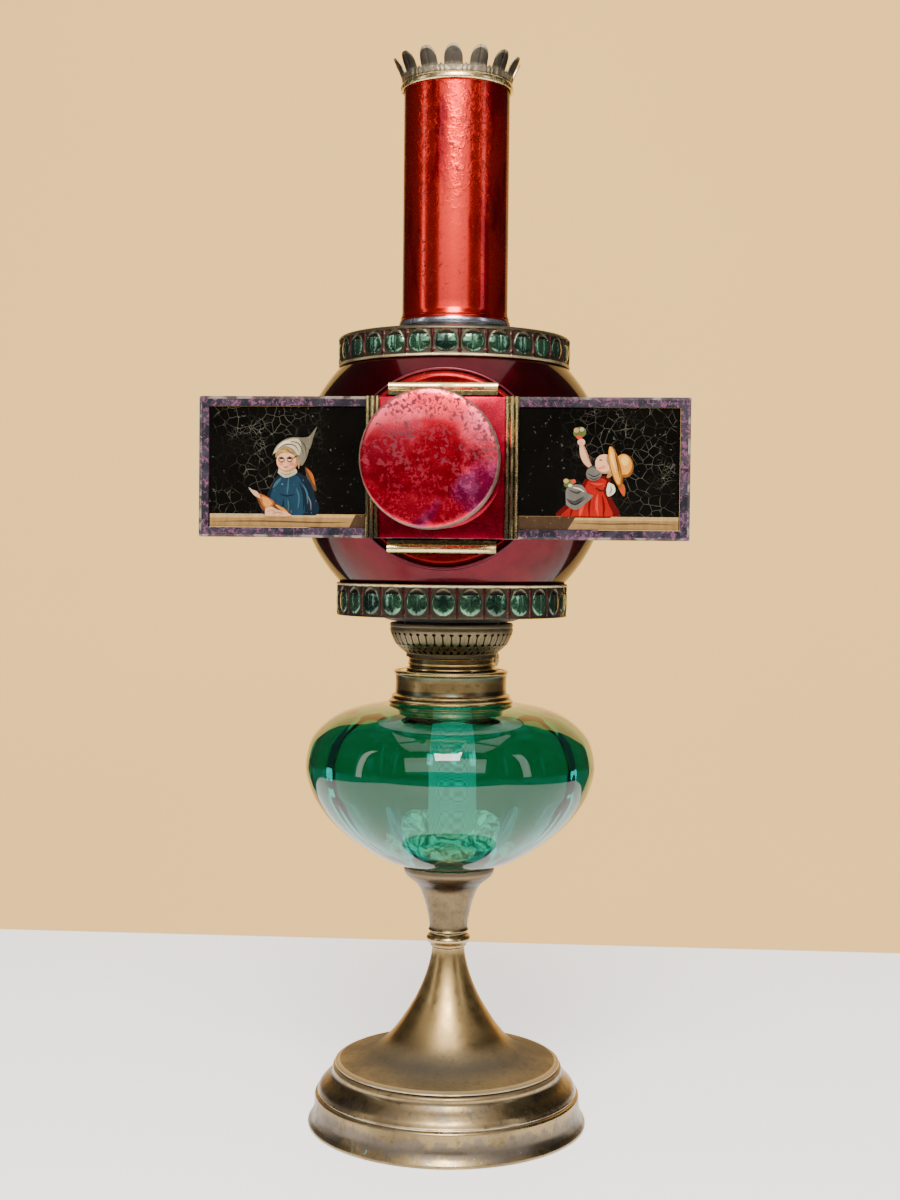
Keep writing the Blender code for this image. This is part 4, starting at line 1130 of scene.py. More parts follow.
def bandFinish():
    band = Finish("stampedBand", Metallic=0.9, Coat_Roughness=0.15)
    jewel, spear, bead = band.attribute("jewel"), band.attribute("spear"), band.attribute("bead")
    height = band.attribute("height")
    broad, fine = band.noise(50, 5, 0.6), band.noise(400, 5, 0.65)
    ground = band.mix(fine, (0.055, 0.045, 0.028), (0.16, 0.135, 0.085))
    plum = band.mix(fine, (0.035, 0.008, 0.010), (0.12, 0.025, 0.028))
    glaze = band.mix(broad.over(0.5, 0.12), (0.014, 0.055, 0.036), (0.09, 0.25, 0.14))
    glaze = band.mix(fine.over(0.60, 0.08) * 0.5, glaze, (0.05, 0.06, 0.05))
    gold = band.mix(broad.over(0.45, 0.15), (0.25, 0.19, 0.10), (0.72, 0.60, 0.33))
    colour = band.mix(spear.over(0.5), ground, plum)
    colour = band.mix(jewel.over(0.5), colour, glaze)
    # near black in the hollow under each hood: painted shade
    colour = band.mix(jewel.under(-0.3), colour, (0.008, 0.008, 0.008))
    colour = band.mix(bead.over(0.5) * height.over(0.25, 0.2), colour, gold)
    colour = band.mix(height.under(0.16, 0.10) * 0.55, colour, (0.035, 0.028, 0.025))
    gloss = 0.42 - 0.22 * jewel.over(0.5) + 0.2 * (fine - 0.5)
    coat = jewel.over(0.5) * 0.9
    relief = band.bump(fine, 0.25, 0.0003)
    return band.done(Base_Color=colour, Roughness=gloss.clip(), Coat_Weight=coat, Normal=relief)


stampedBand = bandFinish()


def makeHousing():
    turnedPiece("adapterRing", "adapter_ring", "adapter", darkTin, housing["adapter"], 144)
    turnedPiece("topPlate", "top_plate", "lantern", darkTin, housing["topPlate"], 144)
    turnedPiece("chimneySocket", "chimney_socket", "lantern", brightTin, housing["socket"], 144)
    bottom, top = low("bottom_plate"), high("bottom_plate")
    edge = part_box("bottom_plate")[1].x / mm
    plate = [(26.6, bottom), (28.0, bottom), (edge - 0.4, bottom), (edge, bottom + 0.3), (edge, top), (26.6, top)]
    turnedPiece("bottomPlate", "bottom_plate", "lantern", brightTin, plate, 144)
    for name, node, beadAtTop in (("lowerBand", "lower_band", True), ("upperBand", "upper_band", False)):
        unit = bandUnit(low(node), high(node), beadAtTop)
        mesh = ringOf(name, unit, bands["repeats"], stampedBand, start=-90, weld=0.02, angle=50)
        addPiece(name, mesh, stampedBand, "lantern", node)

    lowEdge, highEdge = low("ball_shell") - opticAxis, high("ball_shell") - opticAxis
    heights = [lowEdge + (highEdge - lowEdge) * i / 60 for i in range(61)]
    outside, inside = (
        [(math.sqrt(radius**2 - z**2), z + opticAxis) for z in heights]
        for radius in (housing["radius"], housing["radius"] - housing["wall"])
    )
    mesh = lathe("lanternBall", outside + inside[::-1], 240)
    mesh = cutBy(mesh, rod(housing["window"], 30, 110, (0, 0, opticAxis), 192))
    wornPiece("lanternBall", mesh, ballLacquer, "lantern", "ball_shell")

    radius, depth, wall = housing["reflector"]
    curve = [(radius * i / 24, depth * (1 - (i / 24) ** 2)) for i in range(25)]
    outline = curve + [(radius + 0.5, 0.0), (radius + 0.5, -wall)]
    outline += [(r, h - wall) for r, h in curve[::-1] if r < radius]
    mesh = lathe("reflector", outline, 96)
    place = Matrix.Translation((0, housing["reflectorBack"] * mm, opticAxis * mm))
    mesh.transform(place @ Matrix.Rotation(math.radians(-90), 4, "X"))
    silver = Finish("silvered", Metallic=1.0)
    haze = silver.noise(60, 6, 0.65)
    tint = silver.mix(haze.over(0.55, 0.1), (0.82, 0.81, 0.78), (0.55, 0.49, 0.38))
    silver.done(Base_Color=tint, Roughness=0.10 + 0.25 * haze.over(0.55, 0.15))
    wornPiece("reflector", mesh, silver.material, "lantern", "reflector")
    refinish("reflector_clip", brightTin)
    print("housing made")


makeHousing()

# ---- stage: collar, disc, rails, plate, strips
stage = {
    "collar": [(49.0, 56.0), (49.8, 56.0), (50.0, 57.0), (50.0, 67.6)]
    + flow([(50.1, 68.2), (50.7, 68.6), (50.7, 69.2), (50.1, 69.6)], 4)
    + flow([(50.1, 70.2), (50.6, 70.6), (50.4, 71.3), (49.8, 71.6), (49.2, 71.3)], 4)
    + [(49.0, 70.8)],
    "disc": [(29.0, 69.7), (48.6, 69.7), (48.6, 70.7), (47.0, 70.7), (46.2, 71.0), (45.4, 70.7), (30.4, 70.7)]
    + [(29.4, 70.9), (29.0, 70.6)],
    "cell": [(31.9, 44.0), (32.9, 44.0), (32.9, 68.6), (33.4, 69.2), (32.4, 69.3), (31.9, 68.8)],
    "rail": [(0.0, 6.1), (0.3, 6.4), (1.9, 6.4), (2.3, 5.6)]
    + arcPoints((4.3, 4.9), 2.3, 165, -10, 14)
    + [(6.6, 3.0), (6.6, 0.0), (0.0, 0.0)],
    "rails": {"apart": 35.6, "front": 71.9, "length": 54.0, "cap": 2.2, "flange": 37.8},
    "plate": {"size": (75.6, 1.0, 69.5), "front": 80.0, "hole": 26.7},
    "strips": {"apart": 34.3, "front": 80.9, "length": 69.5, "reeds": 3, "reedRadius": 1.05},
}


def sweepX(name, outline, length, place, caps=0.0):
    # an outline of (up, forward) drawn out along x, its ends rounded back by caps
    shape = bmesh.new()
    steps = []
    for i in range(7 if caps else 1):
        t = math.pi / 2 * i / 6 if caps else math.pi / 2
        steps.append((-length / 2 + caps * (1 - math.sin(t)), 0.55 + 0.45 * math.cos(math.pi / 2 - t)))
    steps += [(-x, s) for x, s in steps[::-1]]
    centre = sum(u for u, f in outline) / len(outline)
    rings = []
    for x, share in steps:
        ring = []
        for up, out in outline:
            up = centre + (up - centre) * share
            ring.append(shape.verts.new(((place[0] + x) * mm, -(place[1] + out * share) * mm, (place[2] + up) * mm)))
        rings.append(ring)
    joinRows(shape, rings, closed=True)
    shape.faces.new(rings[0])
    shape.faces.new(rings[-1])
    bmesh.ops.triangulate(shape, faces=[f for f in shape.faces if len(f.verts) > 4])
    return meshOf(name, shape)


def giltFinish(name, bright, dull, dark, worn, drawn=(1, 1, 1), flange=None):
    gilt = Finish(name, Metallic=1.0)
    broad, fine = gilt.noise(38, 4, 0.6, gilt.stretch(drawn)), gilt.noise(500, 5, 0.6)
    flake = gilt.noise(260, 4, 0.6, gilt.stretch(drawn))
    raised = gilt.attribute("edge").over(0.53, 0.04)
    colour = gilt.mix((broad * 0.75 + flake * 0.25 - raised * 0.06).over(worn, 0.03), bright, dull)
    colour = gilt.mix(flake.over(0.64, 0.03) * (1 - raised * 0.5), colour, dark)
    if flange:  # the part that lies beside the slide is darker and duller
        away = gilt.height() - opticAxis
        colour = gilt.mix(away.maths("ABSOLUTE", away).under(flange, 0.25), colour, gilt.mix(fine, dark, dull))
    gloss = 0.26 + 0.3 * flake.over(0.60, 0.05) + 0.15 * (fine - 0.5)
    return gilt.done(Base_Color=colour, Roughness=gloss.clip(), Normal=gilt.bump(fine, 0.15, 0.0002))


railGilt = giltFinish(
    "railGilt", (0.80, 0.62, 0.30), (0.22, 0.18, 0.09), (0.045, 0.038, 0.02), 0.54, (0.35, 1, 1),
    stage["rails"]["flange"],
)
stripGilt = giltFinish("stripGilt", (0.70, 0.56, 0.25), (0.15, 0.13, 0.075), (0.05, 0.045, 0.027), 0.44, (1, 1, 0.25))


def makeStage():
    turnedPiece("frontCollar", "front_collar", "lantern", collarLacquer, stage["collar"], 216, "Y")
    turnedPiece("stageDisc", "stage_disc", "lantern", discLacquer, stage["disc"], 180, "Y")
    turnedPiece("condenserCell", "condenser_cell", "lantern", brightTin, stage["cell"], 120, "Y")
    refinish("condenser_ring", brightTin)
    rails = stage["rails"]
    for side, sign in (("Top", 1), ("Bottom", -1)):
        outline = [(sign * up, out) for up, out in stage["rail"]]
        place = (0, rails["front"], opticAxis + sign * rails["apart"])
        mesh = sweepX("rail" + side, outline, rails["length"], place, rails["cap"])
        wornPiece("rail" + side, mesh, railGilt, "lantern", "rail_" + side.lower())
    for node in ("slide_spring_left", "slide_spring_right"):
        refinish(node, stripGilt)
    spot = stage["plate"]
    plate = boxMesh("frontPlate", spot["size"], (0, -spot["front"], opticAxis), 0.25, 2)
    plate = cutBy(plate, rod(spot["hole"], 70, 90, (0, 0, opticAxis), 120))
    wornPiece("frontPlate", plate, plateLacquer, "lantern", "front_plate")
    strips = stage["strips"]
    count, radius = strips["reeds"], strips["reedRadius"]
    outline = [(-3.5, 0.0), (-3.5, 0.9), (-3.3, 1.2)]
    for i in range(count):
        middle = (i - (count - 1) / 2) * radius * 2.1
        bump = 2.0 if i == 1 else 1.5  # the middle reed stands out more
        reed = [math.radians(a) for a in range(165, 10, -15)]
        outline += [(middle + radius * math.cos(t), bump * 0.55 + 0.6 + radius * math.sin(t)) for t in reed]
    outline += [(3.3, 1.2), (3.5, 0.9), (3.5, 0.0)]
    for side, sign in (("Left", -1), ("Right", 1)):
        mesh = sweepX("strip" + side, outline, strips["length"], (0, 0, 0))
        place = Matrix.Translation((sign * strips["apart"] * mm, -strips["front"] * mm, opticAxis * mm))
        mesh.transform(place @ Matrix.Rotation(math.radians(90), 4, "Y"))
        wornPiece("strip" + side, mesh, stripGilt, "lantern", "strip_" + side.lower())
    print("stage made")


makeStage()

# ---- slide: a glass strip with two painted figures, bound round in marbled paper
slide = {
    "frame": (243.0, 70.0, 3.1),
    "border": 4.9,
    "back": 75.2,
    "glass": (75.6, 77.3),  # back and front
    "layer": 0.014,
    "paint": {
        "ledge": (0.42, 0.28, 0.12), "ledgeLight": (0.58, 0.42, 0.20), "ledgeShadow": (0.11, 0.065, 0.035),
        "skin": (0.78, 0.50, 0.33), "skinShade": (0.55, 0.28, 0.17), "cheek": (0.76, 0.30, 0.20),
        "blue": (0.022, 0.075, 0.125), "blueDark": (0.008, 0.025, 0.05), "blueLight": (0.07, 0.17, 0.22),
        "cream": (0.58, 0.52, 0.37), "creamShade": (0.26, 0.235, 0.17), "white": (0.78, 0.74, 0.60),
        "hair": (0.42, 0.27, 0.11), "ink": (0.025, 0.02, 0.02), "orange": (0.50, 0.17, 0.03),
        "orangeLight": (0.72, 0.38, 0.10), "red": (0.46, 0.016, 0.010), "redDark": (0.17, 0.005, 0.005),
        "redLight": (0.66, 0.07, 0.04), "straw": (0.78, 0.43, 0.06), "strawShade": (0.36, 0.14, 0.02),
        "grey": (0.095, 0.09, 0.085), "greyLight": (0.24, 0.225, 0.20), "green": (0.16, 0.20, 0.06),
        "flower": (0.55, 0.42, 0.18), "lip": (0.58, 0.14, 0.10), "strawLight": (0.90, 0.62, 0.20),
        "brown": (0.17, 0.085, 0.035),
    },
    "spectacles": ((-80.1, 3.6), (-76.0, 3.7)),
}


def blob(*points):
    # a smooth closed outline, as x and height from the slide's middle
    return flow(points[-2:] + points + points[:2], 5)[10:-10]


def oval(x, z, wide, tall, tilt=0):
    turns = [math.tau * i / 20 for i in range(20)]
    c, d = math.cos(math.radians(tilt)), math.sin(math.radians(tilt))
    dots = [(wide * math.cos(t), tall * math.sin(t)) for t in turns]
    return [(x + u * c - v * d, z + u * d + v * c) for u, v in dots]


def stroke(width, *path):
    # one touch of the brush, pointed at both ends
    line = flow(path, 4)
    last = len(line) - 1
    left, right = [], []
    for i, (x, z) in enumerate(line):
        (x0, z0), (x1, z1) = line[max(i - 1, 0)], line[min(i + 1, last)]
        run = math.hypot(x1 - x0, z1 - z0) or 1
        half = width / 2 * math.sin(math.pi * (i + 0.2) / (last + 0.4)) / run
        left.append((x - (z1 - z0) * half, z + (x1 - x0) * half))
        right.append((x + (z1 - z0) * half, z - (x1 - x0) * half))
    return left + right[::-1]


# what is painted, in order from the back: colour and outline
ledge = [
    ("ledge", [(-116, -29.8), (116, -29.8), (116, -23.6), (-116, -23.6)]),
    ("ledgeLight", [(-116, -25.4), (-60, -25.0), (60, -25.2), (116, -25.4), (116, -23.4), (-116, -23.4)]),
    # darker brown either side of the stage: painted shade on the ledge
    ("ledgeShadow", [(-46, -29.8), (62, -29.8), (66, -23.5), (-43, -23.5)]),
    ("brown", stroke(0.7, (-116, -27.4), (-90, -27.0), (-60, -27.5), (-46, -27.1))),
    ("brown", stroke(0.6, (64, -26.6), (80, -27.0), (100, -26.7), (116, -27.2))),
]
reader = [
    ("brown", blob((-68.4, 0), (-65.6, -2.6), (-63.4, -7), (-62.6, -12), (-65.4, -9.4), (-67.6, -4.4))),
    ("orange", stroke(1.6, (-67.6, -0.6), (-65.2, -4.0), (-63.4, -9.0))),
    ("blueDark", blob(
        (-88.4, -24), (-87.4, -15), (-84.6, -8.6), (-81.4, -3.8), (-74, -2.4), (-67.2, -5.6), (-63.6, -13),
        (-62.8, -24),
    )),
    ("blue", blob(
        (-86.4, -24), (-85.6, -15), (-83.2, -8.4), (-80, -4.6), (-74.4, -3.4), (-70.4, -6.6), (-69, -14),
        (-69.6, -24),
    )),
    ("blueLight", stroke(1.5, (-84.4, -10.6), (-82.2, -7.6), (-80.0, -5.4))),
    ("blueLight", stroke(0.9, (-76.4, -5.0), (-76.8, -9.6), (-77.2, -14.0))),
    ("blueDark", stroke(0.9, (-81.2, -13.2), (-77.6, -14.4), (-73.0, -13.6))),
    ("blueDark", stroke(0.9, (-78.8, -15.4), (-79.2, -19.6), (-79.8, -24))),
    ("blueLight", stroke(0.8, (-76.8, -16.0), (-76.4, -20.0), (-77.0, -23.6))),
    ("blueLight", stroke(0.9, (-69.6, -8.2), (-67.2, -13.0), (-66.8, -18.6))),
    ("blueLight", stroke(0.8, (-72.8, -10.0), (-71.2, -15.0), (-71.8, -21.0))),
    ("blueDark", stroke(1.0, (-71.4, -7.2), (-69.0, -13.4), (-68.8, -22.4))),
    ("greyLight", stroke(0.6, (-66.6, -14.4), (-65.4, -17.6), (-65.2, -21.4))),
    ("cream", blob((-82.0, -2.8), (-78.0, -5.4), (-72.6, -3.2), (-73.4, -0.8), (-78.0, -1.4), (-81.4, -0.8))),
    ("creamShade", stroke(0.5, (-80.6, -2.6), (-77.8, -4.0), (-74.4, -2.8))),
    ("skinShade", oval(-77.3, 3.0, 5.4, 5.6)),
    ("skin", oval(-77.7, 3.3, 4.9, 5.1)),
    ("cheek", oval(-80.2, 1.4, 1.2, 0.9)),
    ("cheek", oval(-74.8, 1.3, 1.3, 0.9)),
    ("skinShade", stroke(0.6, (-78.2, 4.2), (-78.7, 2.6), (-77.9, 2.2))),
    ("lip", stroke(0.7, (-79.3, 0.3), (-78.0, -0.3), (-76.6, 0.3))),
    ("ink", stroke(0.8, (-81.0, 3.8), (-80.1, 4.2), (-79.3, 3.8))),
    ("ink", stroke(0.8, (-76.9, 3.9), (-76.0, 4.3), (-75.1, 3.9))),
    ("hair", blob(
        (-83.0, 4.6), (-82.2, 8.4), (-77.6, 10.6), (-73.0, 8.6), (-71.0, 3.6), (-71.4, -1.0), (-72.8, 3.8),
        (-75.4, 6.8), (-80.4, 6.6),
    )),
    ("flower", stroke(0.7, (-82.0, 6.2), (-80.6, 8.0), (-78.6, 7.2))),
    ("flower", stroke(0.7, (-79.4, 8.6), (-77.6, 6.8), (-76.0, 7.6))),
    ("brown", stroke(0.6, (-77.6, 9.0), (-75.6, 7.0), (-73.6, 6.6))),
    ("creamShade", blob(
        (-84.6, 5.6), (-82.4, 10.6), (-77.4, 14.0), (-71.4, 14.6), (-66.8, 13.4), (-66.4, 8.6), (-68.2, 3.0),
        (-70.4, 0.6), (-72.0, 5.2), (-77.6, 10.0), (-82.0, 8.4),
    )),
    ("cream", blob(
        (-84.0, 6.4), (-81.6, 10.8), (-77.0, 13.4), (-71.8, 13.8), (-70.2, 10.4), (-71.4, 5.6), (-74.6, 9.0),
        (-79.0, 10.2),
    )),
    ("creamShade", blob(
        (-70.8, 14.0), (-66.6, 15.0), (-63.6, 18.6), (-62.6, 19.6), (-64.4, 14.2), (-66.0, 9.0), (-68.0, 10.0),
    )),
    ("white", stroke(1.0, (-82.0, 9.4), (-78.8, 12.0), (-75.0, 12.6))),
    ("grey", stroke(0.6, (-82.4, 8.0), (-78.6, 10.8), (-73.6, 10.6), (-70.8, 6.4))),
    ("grey", stroke(0.6, (-76.2, 12.6), (-71.4, 11.4), (-68.8, 5.4))),
    ("grey", stroke(0.6, (-71.2, 13.6), (-68.4, 10.4), (-67.6, 5.2))),
    ("greyLight", stroke(0.6, (-68.8, 14.0), (-66.4, 13.6), (-64.0, 17.6))),
    ("ink", stroke(0.5, (-74.6, 4.0), (-72.8, 5.2), (-71.0, 5.6))),
    ("brown", blob((-93.8, -12.6), (-88.0, -14.6), (-83.2, -17.6), (-75.6, -22.8), (-84.0, -24), (-90.2, -20.6))),
    ("orange", blob((-91.6, -13.6), (-87.0, -15.0), (-83.6, -18.0), (-87.4, -21.6), (-90.2, -19.4))),
    ("orangeLight", blob((-89.8, -15.0), (-86.6, -15.8), (-84.6, -18.2), (-87.2, -20.0), (-89.0, -18.4))),
    ("orangeLight", stroke(1.4, (-83.0, -18.8), (-79.6, -21.0), (-76.6, -22.8))),
    ("brown", stroke(0.7, (-92.6, -13.2), (-89.6, -19.6), (-86.6, -22.6))),
    ("skin", stroke(2.2, (-95.6, -11.6), (-92.8, -13.4), (-90.6, -15.6))),
    ("cream", stroke(1.0, (-96.4, -10.4), (-94.6, -12.2), (-92.2, -13.6))),
    ("skin", blob(
        (-88.0, -21.0), (-85.0, -19.8), (-82.0, -21.2), (-77.4, -22.6), (-74.8, -24.2), (-80.0, -24.6),
        (-88.2, -24.2),
    )),
    ("skinShade", stroke(0.5, (-87.0, -22.4), (-84.8, -21.6), (-82.8, -22.8))),
    ("skinShade", stroke(0.5, (-84.6, -23.4), (-81.6, -22.6), (-78.8, -23.6))),
]
girl = [
    ("redDark", blob(
        (57.6, -24), (59.8, -18.6), (66.4, -13.6), (70.0, -5.4), (75.0, -3.4), (82.6, -4.6), (81.4, -10.4),
        (84.4, -16.0), (85.6, -24),
    )),
    ("red", blob(
        (59.8, -24), (62.4, -19.2), (68.0, -14.6), (71.6, -6.2), (75.6, -4.4), (80.6, -5.6), (79.4, -11.0),
        (81.8, -17.0), (82.6, -24),
    )),
    ("redLight", stroke(1.9, (70.8, -14.8), (68.8, -19.0), (67.8, -23.6))),
    ("redLight", stroke(1.5, (76.6, -12.2), (76.0, -18.0), (77.0, -23.4))),
    ("redLight", stroke(1.3, (73.0, -6.8), (76.4, -7.6), (79.4, -7.0))),
    ("redDark", stroke(1.0, (73.4, -13.2), (72.4, -18.4), (72.6, -23.8))),
    ("redDark", stroke(1.0, (78.8, -12.6), (79.6, -18.4), (79.4, -23.8))),
    ("redDark", stroke(0.9, (75.0, -9.0), (77.6, -10.6), (80.6, -10.4))),
    ("redDark", stroke(0.8, (65.6, -16.6), (64.0, -20.2), (63.2, -23.8))),
    ("greyLight", blob(
        (60.8, -11.0), (63.4, -8.2), (68.6, -8.0), (71.6, -12.0), (74.2, -13.4), (69.4, -18.0), (65.6, -20.2),
        (61.0, -17.2),
    )),
    ("grey", stroke(2.0, (61.2, -14.6), (65.0, -16.8), (70.0, -13.6))),
    ("ink", stroke(0.6, (62.0, -15.8), (65.8, -17.6), (71.0, -14.0))),
    ("grey", stroke(1.1, (62.6, -10.4), (66.4, -11.8), (69.6, -10.2))),
    ("white", stroke(0.7, (64.2, -9.2), (67.4, -9.8), (70.0, -11.4))),
    ("green", oval(62.4, -7.2, 2.6, 1.8, 20)),
    ("flower", oval(61.0, -6.0, 1.3, 1.1)),
    ("redLight", oval(64.6, -6.2, 1.2, 1.1)),
    ("white", oval(63.0, -8.2, 1.0, 0.8)),
    ("white", blob((81.6, -6.8), (84.6, -8.2), (84.8, -11.6), (81.6, -13.4), (80.8, -9.8))),
    ("greyLight", stroke(0.6, (82.6, -8.2), (83.2, -10.4), (82.2, -12.4))),
    ("skinShade", stroke(3.8, (68.0, 13.8), (69.2, 8.4), (71.0, 3.4), (74.4, -0.6))),
    ("skin", stroke(3.0, (67.8, 13.6), (68.8, 8.2), (70.6, 3.6), (73.6, -0.2))),
    ("skin", oval(68.2, 13.0, 1.9, 1.7)),
    ("greyLight", oval(74.6, -2.2, 4.0, 3.6, 25)),
    ("grey", stroke(0.8, (71.0, -0.6), (73.6, 1.2), (76.8, -0.4))),
    ("ink", stroke(0.5, (71.2, -2.0), (74.8, -3.8), (78.2, -1.8))),
    ("grey", stroke(0.7, (72.0, -4.2), (74.8, -5.2), (77.6, -3.8))),
    ("green", oval(67.4, 17.8, 3.2, 2.7, 15)),
    ("ink", stroke(0.5, (65.8, 17.4), (67.6, 18.8), (69.6, 18.0))),
    ("flower", oval(65.8, 18.8, 1.3, 1.2)),
    ("cream", oval(68.4, 19.2, 1.1, 1.0)),
    ("redLight", oval(67.2, 15.4, 1.4, 1.0)),
    ("skinShade", oval(79.9, 2.4, 4.7, 4.8, 10)),
    ("skin", oval(79.4, 2.8, 4.3, 4.3, 10)),
    ("cheek", oval(79.0, 0.8, 1.2, 0.9)),
    ("ink", stroke(0.6, (77.0, 4.0), (77.8, 4.4), (78.6, 4.0))),
    ("lip", stroke(0.6, (76.4, 0.6), (77.4, 0.2), (78.2, 0.5))),
    ("hair", blob((80.8, 7.0), (83.6, 6.0), (84.8, 1.0), (83.2, -3.4), (80.8, -4.2), (82.0, 0.4), (80.4, 4.4))),
    ("flower", stroke(0.7, (82.2, 5.4), (83.0, 1.6), (81.8, -2.6))),
    ("orange", stroke(3.0, (86.6, -6.4), (88.2, -9.0), (89.4, -13.4))),
    ("redLight", stroke(1.2, (87.2, -7.4), (88.6, -10.2), (89.0, -13.0))),
    ("strawShade", oval(89.2, 1.6, 4.6, 5.9, 8)),
    ("straw", oval(89.0, 2.2, 4.0, 5.0, 8)),
    ("strawLight", oval(89.6, 4.0, 1.8, 2.4, 12)),
    ("strawShade", oval(85.0, 1.0, 2.6, 10.4, 14)),
    ("straw", oval(84.6, 1.6, 1.9, 9.6, 14)),
    ("strawLight", stroke(1.3, (82.4, 9.4), (83.6, 4.6), (85.4, -2.4))),
    ("brown", stroke(0.8, (84.6, 8.2), (86.0, 2.2), (87.4, -5.2))),
]


def makePictures():
    shape = bmesh.new()
    paint = shape.verts.layers.float_color.new("paint")
    colours = slide["paint"]
    front = slide["glass"][1]

    def lay(points, colour, level):
        near = -(front + slide["layer"] * (level + 1))
        loops = []
        for y in (-front + 0.05, near):
            ring = [shape.verts.new((x * mm, y * mm, (opticAxis + z) * mm)) for x, z in points]
            for vertex in ring:
                vertex[paint] = (*colour, 1)
            loops.append(ring)
        back, fore = loops
        for i in range(len(points)):
            j = (i + 1) % len(points)
            shape.faces.new((back[i], back[j], fore[j], fore[i]))
        shape.faces.new(fore)
        shape.faces.new(back[::-1])

    for figure in (ledge + reader, girl):
        for level, (name, outline) in enumerate(figure):
            lay(outline, colours[name], level)
    for x, z in slide["spectacles"]:
        circle = oval(x, z, 1.5, 1.35)
        inner = oval(x, z, 1.2, 1.05)
        for i in range(20):
            j = (i + 1) % 20
            lay([circle[i], circle[j], inner[j], inner[i]], colours["ink"], len(reader))
    bmesh.ops.recalc_face_normals(shape, faces=shape.faces)
    bmesh.ops.triangulate(shape, faces=[f for f in shape.faces if len(f.verts) > 4])
    mesh = plainMesh("slidePictures", shape)
    picture = Finish("pictureColours", Coat_Weight=0.2, Coat_Roughness=0.05, Roughness=0.6, Specular_IOR_Level=0.05)
    brushed = picture.noise(260, 6, 0.7, picture.stretch((1, 1, 0.35)), 0.8)
    blotch = picture.noise(110, 4)
    laid = picture.attribute("paint", "Color")
    laid = picture.mix(0.6, laid, laid, "MULTIPLY")
    deep = picture.mix(0.75, laid, (0.02, 0.015, 0.015), "MULTIPLY")
    colour = picture.mix((brushed * 0.6 + blotch * 0.4).over(0.5, 0.16), picture.mix(0.45, laid, deep), laid)
    colour = picture.mix(picture.noise(700, 3).over(0.71, 0.02) * 0.35, colour, (0.60, 0.55, 0.45))
    picture.done(Base_Color=colour)
    piece = addPiece("slidePictures", mesh, picture.material, "slide")


def makeSlide():
    wide, tall, thick = slide["frame"]
    border = slide["border"]
    middle = (0, -(slide["back"] + thick / 2), opticAxis)
    binding = boxMesh("slideFrame", (wide, thick, tall), middle, 0.5, 3)
    binding = cutBy(binding, boxMesh("opening", (wide - 2 * border, 20, tall - 2 * border), (0, -77, opticAxis)))
    marble = Finish("marbledPaper", Roughness=0.7, Specular_IOR_Level=0.1)
    veins = marble.noise(480, 5, 0.7, warp=0.8)
    drift = marble.noise(95, 4, 0.6, warp=0.6)
    colour = marble.mix(drift.over(0.5, 0.1), (0.010, 0.010, 0.016), (0.032, 0.027, 0.040))
    colour = marble.mix(veins.over(0.548, 0.022) * drift.over(0.42, 0.05), colour, (0.13, 0.05, 0.095))
    colour = marble.mix(marble.noise(330, 3).over(0.70, 0.02) * 0.7, colour, (0.24, 0.14, 0.19))
    x, y, z = marble.axes()
    rise = z * 1000 - opticAxis
    corner = x.maths("ABSOLUTE", x * 1000).over(120.6, 0.6) * rise.maths("ABSOLUTE", rise).over(34.2, 0.6)
    line = marble.attribute("edge").over(0.58, 0.03)
    chip = corner * 0.6 + line * (0.08 + 0.5 * marble.noise(90, 4).over(0.56, 0.04))
    colour = marble.mix(chip.clip(), colour, (0.34, 0.28, 0.24))
    marble.done(Base_Color=colour, Normal=marble.bump(veins, 0.15, 0.0003))
    wornPiece("slideFrame", binding, marble.material, "slide", "slide_frame")

    back, front = slide["glass"]
    size = (wide - 2 * border - 0.4, front - back, tall - 2 * border - 0.4)
    glass = boxMesh("slideGlass", size, (0, -(back + front) / 2, opticAxis), 0.08, 1)
    black = Finish("pictureGround", Coat_Weight=0.15, Coat_Roughness=0.03, Roughness=0.6, Specular_IOR_Level=0.0)
    drift = black.node("ShaderNodeTexNoise", inputs={"Vector": black.place, "Scale": 90}, output="Color")
    wander = black.mix(0.004, black.place, drift)
    flat = black.node("ShaderNodeMapping", inputs={"Vector": wander, "Scale": (1, 0.02, 1)})
    crack = black.cells(210, "DISTANCE_TO_EDGE", flat).under(0.017, 0.012)
    fineCrack = black.cells(430, "DISTANCE_TO_EDGE", flat).under(0.020, 0.014) * black.noise(40, 3).over(0.56, 0.04)
    x = black.axes()[0]
    end = x.maths("ABSOLUTE", x * 1000)
    # crackle only from 66 mm out; the last 2 mm at each end stay black: painted shade along the binding's inner edge
    where = end.over(66, 12) * black.noise(24, 3, 0.6).over(0.42, 0.10) * end.under(114.5, 0.8)
    cloud = black.noise(26, 5, 0.65)
    colour = black.mix(cloud, (0.0005, 0.0005, 0.0005), (0.0055, 0.005, 0.004))
    colour = black.mix(black.noise(420, 3).over(0.70, 0.02) * 0.5, colour, (0.10, 0.09, 0.08))
    faint = 0.15 + 0.85 * black.noise(90, 3).over(0.50, 0.08)
    colour = black.mix((crack + fineCrack) * where * faint * 0.42, colour, (0.15, 0.14, 0.11))
    black.done(Base_Color=colour, Normal=black.bump(cloud, 0.04, 0.0005))
    addPiece("slideGlass", glass, black.material, "slide", "slide_glass")
    makePictures()
    print("slide made")


makeSlide()

